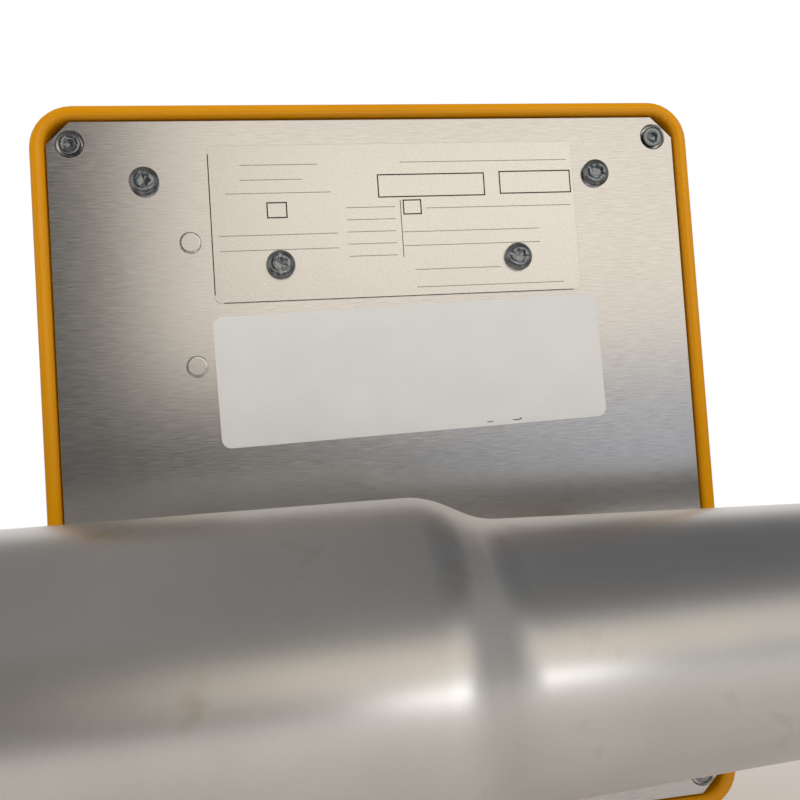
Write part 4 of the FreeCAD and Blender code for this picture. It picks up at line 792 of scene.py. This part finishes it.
def gland():
    # Polyamide cable gland: hexagon body with its thread, and a ribbed cap with a neck.
    size = {"hexTop": -67.5, "hexLow": -74.5, "flat": 11.26, "hexBevel": [(0.0, 11.7), (0.5, 12.5), (1.1, 13.1)],
            "threadTop": -54.5, "thread": 10.0, "groove": 0.8, "runIn": 0.4, "flank": 0.6, "crest": 0.8,
            "endGroove": 0.9, "pitch": 1.5, "bore": 6.5, "capCore": 10.9, "capLow": -83.5, "step": 0.01, "neck": 10.0,
            "low": -89.5, "lip": 2.0, "mouth": 8.5, "capRounds": {1: 0.5, 2: 1.0, 4: 1.6, 5: 0.6}, "ribs": 20,
            "ribAt": 10.85, "rib": (1.2, 1.3, 7.2), "ribEdge": 0.3}
    top, low, thread, bore = size["hexTop"], size["hexLow"], size["thread"], size["bore"]
    hexagon = hexReach(size["flat"])
    levels = [(low + up, r) for up, r in size["hexBevel"]] + [(top - down, r) for down, r in size["hexBevel"][::-1]]
    rings = turnedRings(levels, glandSeat, "up", reach=lambda r, turn: min(hexagon(turn), r))
    profile = []
    for i in range(int((size["threadTop"] - top) / size["pitch"])):
        start = top + size["runIn"] + i * size["pitch"]
        profile += [(start, thread - size["groove"]), (start + size["flank"], thread), (start + size["crest"], thread)]
    profile += [(size["threadTop"], thread - size["endGroove"]), (size["threadTop"], bore), (low, bore)]
    rings += turnedRings(profile, glandSeat, "up")
    keepPiece("gland_hex_body", loft(rings, closed=True), "black_plastic", ["gland_body"])

    core, neck, mouth, lip = size["capCore"], size["neck"], size["mouth"], size["low"] + size["lip"]
    profile = [(low, mouth), (low, core), (size["capLow"], core), (size["capLow"] - size["step"], neck),
               (size["low"], neck), (size["low"], bore), (lip, bore), (lip, mouth)]
    rings = turnedRings(roundCorners(profile, size["capRounds"]), glandSeat, "up")
    keepPiece("gland_ribbed_cap", loft(rings, closed=True), "black_plastic", ["gland_cap"])
    # Grip ribs round the cap.
    tree, add, given = startTree("capRibs", {
        "Count": "Int", "Radius": "Float", "Rib": "Vector", "Centre": "Vector", "Finish": "Material"})
    circle = add("GeometryNodeMeshCircle", {"Vertices": given["Count"], "Radius": given["Radius"]})
    rib = add("GeometryNodeMeshCube", {"Size": given["Rib"]})
    place = add("GeometryNodeInputPosition")
    outward = add("FunctionNodeAlignRotationToVector", {"Vector": place}, axis="X")
    ring = add("GeometryNodeInstanceOnPoints", {"Points": circle, "Instance": rib, "Rotation": outward})
    moved = add("GeometryNodeTransform", {"Geometry": ring, "Translation": given["Centre"]})
    closeTree(add, moved, given["Finish"])
    ribs = runTree("gland_cap_ribs", tree, {
        "Count": size["ribs"], "Radius": size["ribAt"] * mm, "Rib": tuple(side * mm for side in size["rib"]),
        "Centre": toFrame((glandSeat[0], glandSeat[1], (low + size["capLow"]) / 2)), "Finish": blackPolyamide})
    softenEdges(ribs, size["ribEdge"])
    finishPiece(smoothNormals(ribs))


def dialFace():
    # Printed scale: long and short graduations about the pivot, and plain numerals.
    size = {"front": 129.0, "sweep": 80.0, "ink": 0.06, "arc": (100.4, 101.0), "arcSteps": 80, "arcLift": 0.03,
            "scaleEnd": 100, "numeralStep": 20, "numeralAt": 84, "numeralTall": 9, "numeralLift": 0.04,
            "marks": (("long_graduations", 11, 96.0, 9.0, 0.9), ("middle_graduations", 21, 98.0, 5.0, 0.55),
                      ("fine_graduations", 101, 99.0, 3.0, 0.28))}  # name, count, radius, length and width
    tree, add, given = startTree("graduations", {
        "Count": "Int", "Radius": "Float", "Mark": "Vector", "Start": "Float", "Step": "Float", "Centre": "Vector",
        "Ink": "Material"})
    line = add("GeometryNodeMeshLine", {"Count": given["Count"]}, mode="OFFSET")
    index = add("GeometryNodeInputIndex")
    steps = add("ShaderNodeMath", {0: index, 1: given["Step"], 2: given["Start"]}, operation="MULTIPLY_ADD")
    across = add("ShaderNodeMath", {0: steps}, operation="SINE")
    rise = add("ShaderNodeMath", {0: steps}, operation="COSINE")
    outward = add("ShaderNodeCombineXYZ", {0: across, 2: rise})
    reach = add("ShaderNodeVectorMath", {0: outward, "Scale": given["Radius"]}, operation="SCALE")
    spot = add("ShaderNodeVectorMath", {0: reach, 1: given["Centre"]}, operation="ADD")
    placed = add("GeometryNodeSetPosition", {"Geometry": line, "Position": spot})
    mark = add("GeometryNodeMeshCube", {"Size": given["Mark"]})
    lean = add("ShaderNodeCombineXYZ", {1: steps})
    marks = add("GeometryNodeInstanceOnPoints", {"Points": placed, "Instance": mark, "Rotation": lean})
    closeTree(add, marks, given["Ink"])
    half = radians(size["sweep"] / 2)

    def onDial(radius, turn, lift):
        return toFrame((pivot[0] + radius * sin(turn), -size["front"] - lift, pivot[1] + radius * cos(turn)))

    for name, count, radius, tall, wide in size["marks"]:
        piece = runTree(name, tree, {
            "Count": count, "Radius": radius * mm, "Mark": (wide * mm, size["ink"] * mm, tall * mm), "Start": -half,
            "Step": 2 * half / (count - 1), "Centre": onDial(0, 0, size["ink"] / 2), "Ink": screenInk})
        finishPiece(piece)
    # The scale's arc line, as a narrow flat band.
    band = bmesh.new()
    turns = [-half + 2 * half * i / size["arcSteps"] for i in range(size["arcSteps"] + 1)]
    edges = [[band.verts.new(onDial(r, turn, size["arcLift"])) for r in size["arc"]] for turn in turns]
    for first, second in zip(edges, edges[1:]):
        band.faces.new((first[0], second[0], second[1], first[1]))
    finishPiece(makeObject("scale_arc", band, screenInk))
    numerals = bmesh.new()
    for number in range(0, size["scaleEnd"] + 1, size["numeralStep"]):
        turn = -half + 2 * half * number / size["scaleEnd"]
        curve = bpy.data.curves.new("numeral", "FONT")
        curve.body, curve.size = str(number), size["numeralTall"] * mm
        curve.align_x, curve.align_y = "CENTER", "CENTER"
        text = addObject("numeral", curve)
        mesh = bpy.data.meshes.new_from_object(text.evaluated_get(bpy.context.evaluated_depsgraph_get()))
        place = Matrix.Translation(onDial(size["numeralAt"], turn, size["numeralLift"]))
        mesh.transform(place @ Matrix.Rotation(turn, 4, "Y") @ Matrix.Rotation(pi / 2, 4, "X"))
        numerals.from_mesh(mesh)
        bpy.data.objects.remove(text)
        bpy.data.meshes.remove(mesh)
    mesh = bpy.data.meshes.new("scale_numerals")
    numerals.to_mesh(mesh)
    numerals.free()
    mesh.materials.append(screenInk)
    finishPiece(addObject("scale_numerals", mesh))


def pointer():
    # Tapered needle with a broad tail and a turned hub, at the zero of the scale.
    size = {"rest": -40.0, "from": 132.0, "thick": 1.0, "long": 96.0, "tail": 22.0, "root": 3.0, "tip": 0.6, "hub": 6.0,
            "hubTall": 4.0, "hubRounds": {2: 0.8, 3: 0.2}, "hubSides": 64, "edge": 0.15, "bore": 2.1}
    root, tip, bore, hub = size["root"], size["tip"], size["bore"], size["hub"]
    flat = [(-root, -size["tail"]), (root, -size["tail"]), (root, 0), (tip, size["long"]), (-tip, size["long"]),
            (-root, 0)]
    needle = turnPoints(flat, pivot, size["rest"])
    start = size["from"]
    bm = sheetPiece([(needle, start), (needle, start + size["thick"])])
    hubEnd = -start - size["hubTall"]
    profile = roundCorners([(-start, bore), (-start, hub), (hubEnd, hub), (hubEnd, bore)], size["hubRounds"])
    loft(turnedRings(profile, (pivot[0], 0, pivot[1]), "back", size["hubSides"]), closed=True, bm=bm)
    piece = makeObject("needle_and_hub", bm, blackLacquer)
    softenEdges(piece, size["edge"])
    finishPiece(smoothNormals(piece), ["pointer"], "pointer_assembly")


def floatAndSpring():
    # The float's turned head, stem and body, and the coil that sends it back.
    size = {"start": -91.0, "bore": 4.08, "nose": 9.0, "head": 19.3, "noseLong": 8.0, "land": 2.0, "stem": 10.0,
            "stemLong": 44.0, "body": 14.0, "long": 82.0, "pocket": 12.0, "pocketIn": 6.9, "pocketFrom": 58.0,
            "rounds": {0: 0.3, 1: 0.5, 2: 0.25, 3: 0.4, 4: 1.5, 5: 1.5, 6: 0.6, 7: 0.8}, "segments": 112}
    bore, head, stem, body, end = (size[key] for key in ("bore", "head", "stem", "body", "long"))
    pocket, core, floor = size["pocket"], size["pocketIn"], size["pocketFrom"]
    stemStart = size["noseLong"] + size["land"]
    stemEnd = stemStart + size["stemLong"]
    profile = [(0, bore), (0, size["nose"]), (size["noseLong"], head), (stemStart, head), (stemStart, stem),
               (stemEnd, stem), (stemEnd, body), (end, body), (end, pocket), (floor, pocket), (floor, core),
               (end, core), (end, bore)]
    profile = [(size["start"] + a, r) for a, r in roundCorners(profile, size["rounds"])]
    rings = turnedRings(profile, (0, 0, 0), "flow", size["segments"])
    keepPiece("turned_float", loft(rings, closed=True), "turned_steel", ["float"], "float_assembly")

    coil = {"radius": 10.6, "wire": 0.9, "turns": 9.0, "from": -7.8, "to": 83.8, "keep": 0.5075, "anchor": 84.7}
    tree, add, given = startTree("returnCoil", {
        "Turns": "Float", "Radius": "Float", "Wire": "Float", "Length": "Float", "Start": "Vector",
        "Finish": "Material"})
    path = add("GeometryNodeCurveSpiral", {
        "Resolution": 48, "Rotations": given["Turns"], "Start Radius": given["Radius"], "End Radius": given["Radius"],
        "Height": given["Length"]})
    section = add("GeometryNodeCurvePrimitiveCircle", {"Resolution": 14, "Radius": given["Wire"]})
    swept = add("GeometryNodeCurveToMesh", {"Curve": path, "Profile Curve": section, "Fill Caps": True})
    laid = add("GeometryNodeTransform", {"Geometry": swept, "Rotation": (0, pi / 2, 0), "Translation": given["Start"]})
    closeTree(add, laid, given["Finish"])
    spring = runTree("return_coil", tree, {
        "Turns": coil["turns"], "Radius": coil["radius"] * mm, "Wire": coil["wire"] * mm,
        "Length": (coil["to"] - coil["from"]) * mm, "Start": toFrame((coil["from"], 0, 0)), "Finish": springWire})
    spring.data.shade_smooth()
    finishPiece(spring, ["return_spring"])
    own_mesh(spring)


tube()
flange("inlet_flange_ring", "inlet_flange", inletRadius, tubeStart, 1)
flange("outlet_flange_ring", "outlet_flange", outletRadius, tubeEnd, -1)
print("tube and flanges made")
housing()
backPlate()
print("housing and plate made")
nameplate()
tagLabel()
fasteners()
print("plates and screws made")
pillars()
gland()
print("pillars and gland made")
dialFace()
pointer()
floatAndSpring()
print("dial, pointer, float and spring made")


def surroundings():
    # White background for the camera. Metal and glass see that white in front of the meter, and behind the camera
    # a wide soft panel in a greyer room; matt surfaces get an even light.
    room = {"even": (0.57, 0.55, 0.525, 1.0), "panel": (1.02, 0.94, 0.83, 1.0), "shade": (0.1, 0.097, 0.094, 1.0),
            "cool": (0.48, 0.51, 0.57, 1.0), "overhead": (0.28, 0.28, 0.275, 1.0), "side": (0.6, 0.58, 0.55, 1.0),
            "wall": (0.37, 0.375, 0.38, 1.0), "ceiling": (0.15, 0.155, 0.165, 1.0)}
    world = bpy.data.worlds.new("studio")
    scene.world = world
    world.use_nodes = True
    world.node_tree.nodes.clear()
    add = partial(addNode, world.node_tree)

    # Lays each colour over the last. Its share is the product of its fades, and a fade goes from none to full
    # as its value goes from the first number to the second.
    def layered(tone, layers):
        for colour, fades in layers:
            share = 1.0
            for value, none, full in fades:
                fade = add("ShaderNodeMapRange", {0: value, 1: none, 2: full}, interpolation_type="SMOOTHSTEP")
                share = add("ShaderNodeMath", {0: share, 1: fade}, operation="MULTIPLY")
            tone = add("ShaderNodeMix", {0: share, 6: tone, 7: colour}, data_type="RGBA")
        return tone

    way = add("ShaderNodeTexCoord").outputs["Generated"]
    across, depth, height = add("ShaderNodeSeparateXYZ", {0: way}).outputs
    bearing = add("ShaderNodeMath", {0: across, 1: depth}, operation="ARCTAN2")
    rise = add("ShaderNodeMath", {0: height}, operation="ARCSINE")
    low = layered(room["cool"], [(room["shade"], [(bearing, -0.6, 0.15)]), (room["wall"], [(bearing, -0.6, -1.0)])])
    above = layered(room["overhead"], [(room["ceiling"], [(across, 0.05, -0.4)])])
    seen = layered(low, [
        (above, [(rise, 0.4, 0.8)]),
        (room["panel"], [(bearing, 0.235, 0.09), (bearing, -1.0, -0.6), (rise, 0.0, 0.13), (rise, 0.58, 0.43)]),
        (room["side"], [(across, 0.5, 0.85), (rise, 0.9, 0.5)]),
        (white, [(depth, -0.45, -0.8), (rise, 0.8, 0.45)])])
    path = add("ShaderNodeLightPath").outputs
    mirror = add("ShaderNodeMath", {0: path["Is Glossy Ray"], 1: path["Is Transmission Ray"]}, operation="MAXIMUM")
    level = layered(room["even"], [(seen, [(mirror, 0, 1)]), (white, [(path["Is Camera Ray"], 0, 1)])])
    light = add("ShaderNodeBackground", {"Color": level, "Strength": 1.0})
    add("ShaderNodeOutputWorld", {"Surface": light})


def lamps():
    # The strip stands close before the tube and gives it its highlights; the tube shades the plate from it.
    kinds = {
        "backPanel": {"at": (-222, 950, 620), "to": (-2, -70, 50), "size": (0.9, 0.6), "power": 5.0, "gloss": False},
        "tubeStrip": {"at": (-23, 110, -1), "to": (-6, 28, 3), "size": (0.065, 0.012), "power": 0.0078, "gloss": True},
        "dialPanel": {"at": (228, -1100, 750), "to": (-2, -100, 30), "size": (0.8, 0.6), "power": 4.5, "gloss": False},
    }
    for name, lamp in kinds.items():
        data = bpy.data.lights.new(name, "AREA")
        data.shape, data.energy = "RECTANGLE", lamp["power"]
        data.size, data.size_y = lamp["size"]
        obj = addObject(name, data)
        obj.location = toFrame(lamp["at"])
        aim = Vector(lamp["to"]) - Vector(lamp["at"])
        obj.rotation_euler = aim.to_track_quat("-Z", "Y").to_euler()
        obj.visible_camera = False
        obj.visible_glossy = lamp["gloss"]


def paleFloor():
    # Pale floor under the meter, fading into the white background towards its edge.
    size = {"half": 0.75, "centre": (middle * mm, -0.05, cadBox[0][2] - 0.0002), "fadeFrom": 0.35, "fadeTo": 0.72}
    bm = bmesh.new()
    bmesh.ops.create_grid(bm, x_segments=1, y_segments=1, size=size["half"])
    bmesh.ops.translate(bm, verts=bm.verts, vec=size["centre"])
    material, shader, place, add = startMaterial("paleFloor", {"Base Color": linearColour("#f0efec"), "Roughness": 0.7})
    offset = add("ShaderNodeVectorMath", {0: place, 1: size["centre"]}, operation="SUBTRACT")
    away = add("ShaderNodeVectorMath", {0: offset}, operation="LENGTH")
    far = add("ShaderNodeMapRange", {0: away, 1: size["fadeFrom"], 2: size["fadeTo"]}, interpolation_type="SMOOTHSTEP")
    path = add("ShaderNodeLightPath").outputs
    shown = add("ShaderNodeMath", {0: far, 1: path["Is Camera Ray"]}, operation="MULTIPLY")
    bright = add("ShaderNodeEmission", {"Color": white, "Strength": 1.0})
    mixed = add("ShaderNodeMixShader", {0: shown, 1: shader, 2: bright})
    fillSockets(material.node_tree.nodes["Material Output"], {"Surface": mixed})
    floor = makeObject("pale_floor", bm, material)


def photoCamera():
    # The photograph's place and angle, worked out from the plate's edges: close to the plate, looking slightly up.
    view = {"at": (29.8, 144.5, 42.5), "right": (-0.98736, 0.14417, -0.06585), "up": (-0.05958, 0.04739, 0.9971),
            "forward": (-0.14687, -0.98842, 0.0382), "lens": 36.0, "sensor": 36.0, "near": 0.005}
    data = bpy.data.cameras.new("photoCamera")
    data.lens, data.sensor_width, data.clip_start = view["lens"], view["sensor"], view["near"]
    data.sensor_fit = "HORIZONTAL"
    obj = addObject("photoCamera", data)
    columns = (view["right"], view["up"], tuple(-c for c in view["forward"]))
    turn = Matrix([[column[row] for column in columns] for row in range(3)]).to_4x4()
    obj.matrix_world = Matrix.Translation(toFrame(view["at"])) @ turn
    scene.camera = obj


surroundings()
lamps()
paleFloor()
photoCamera()
print("light and camera set")
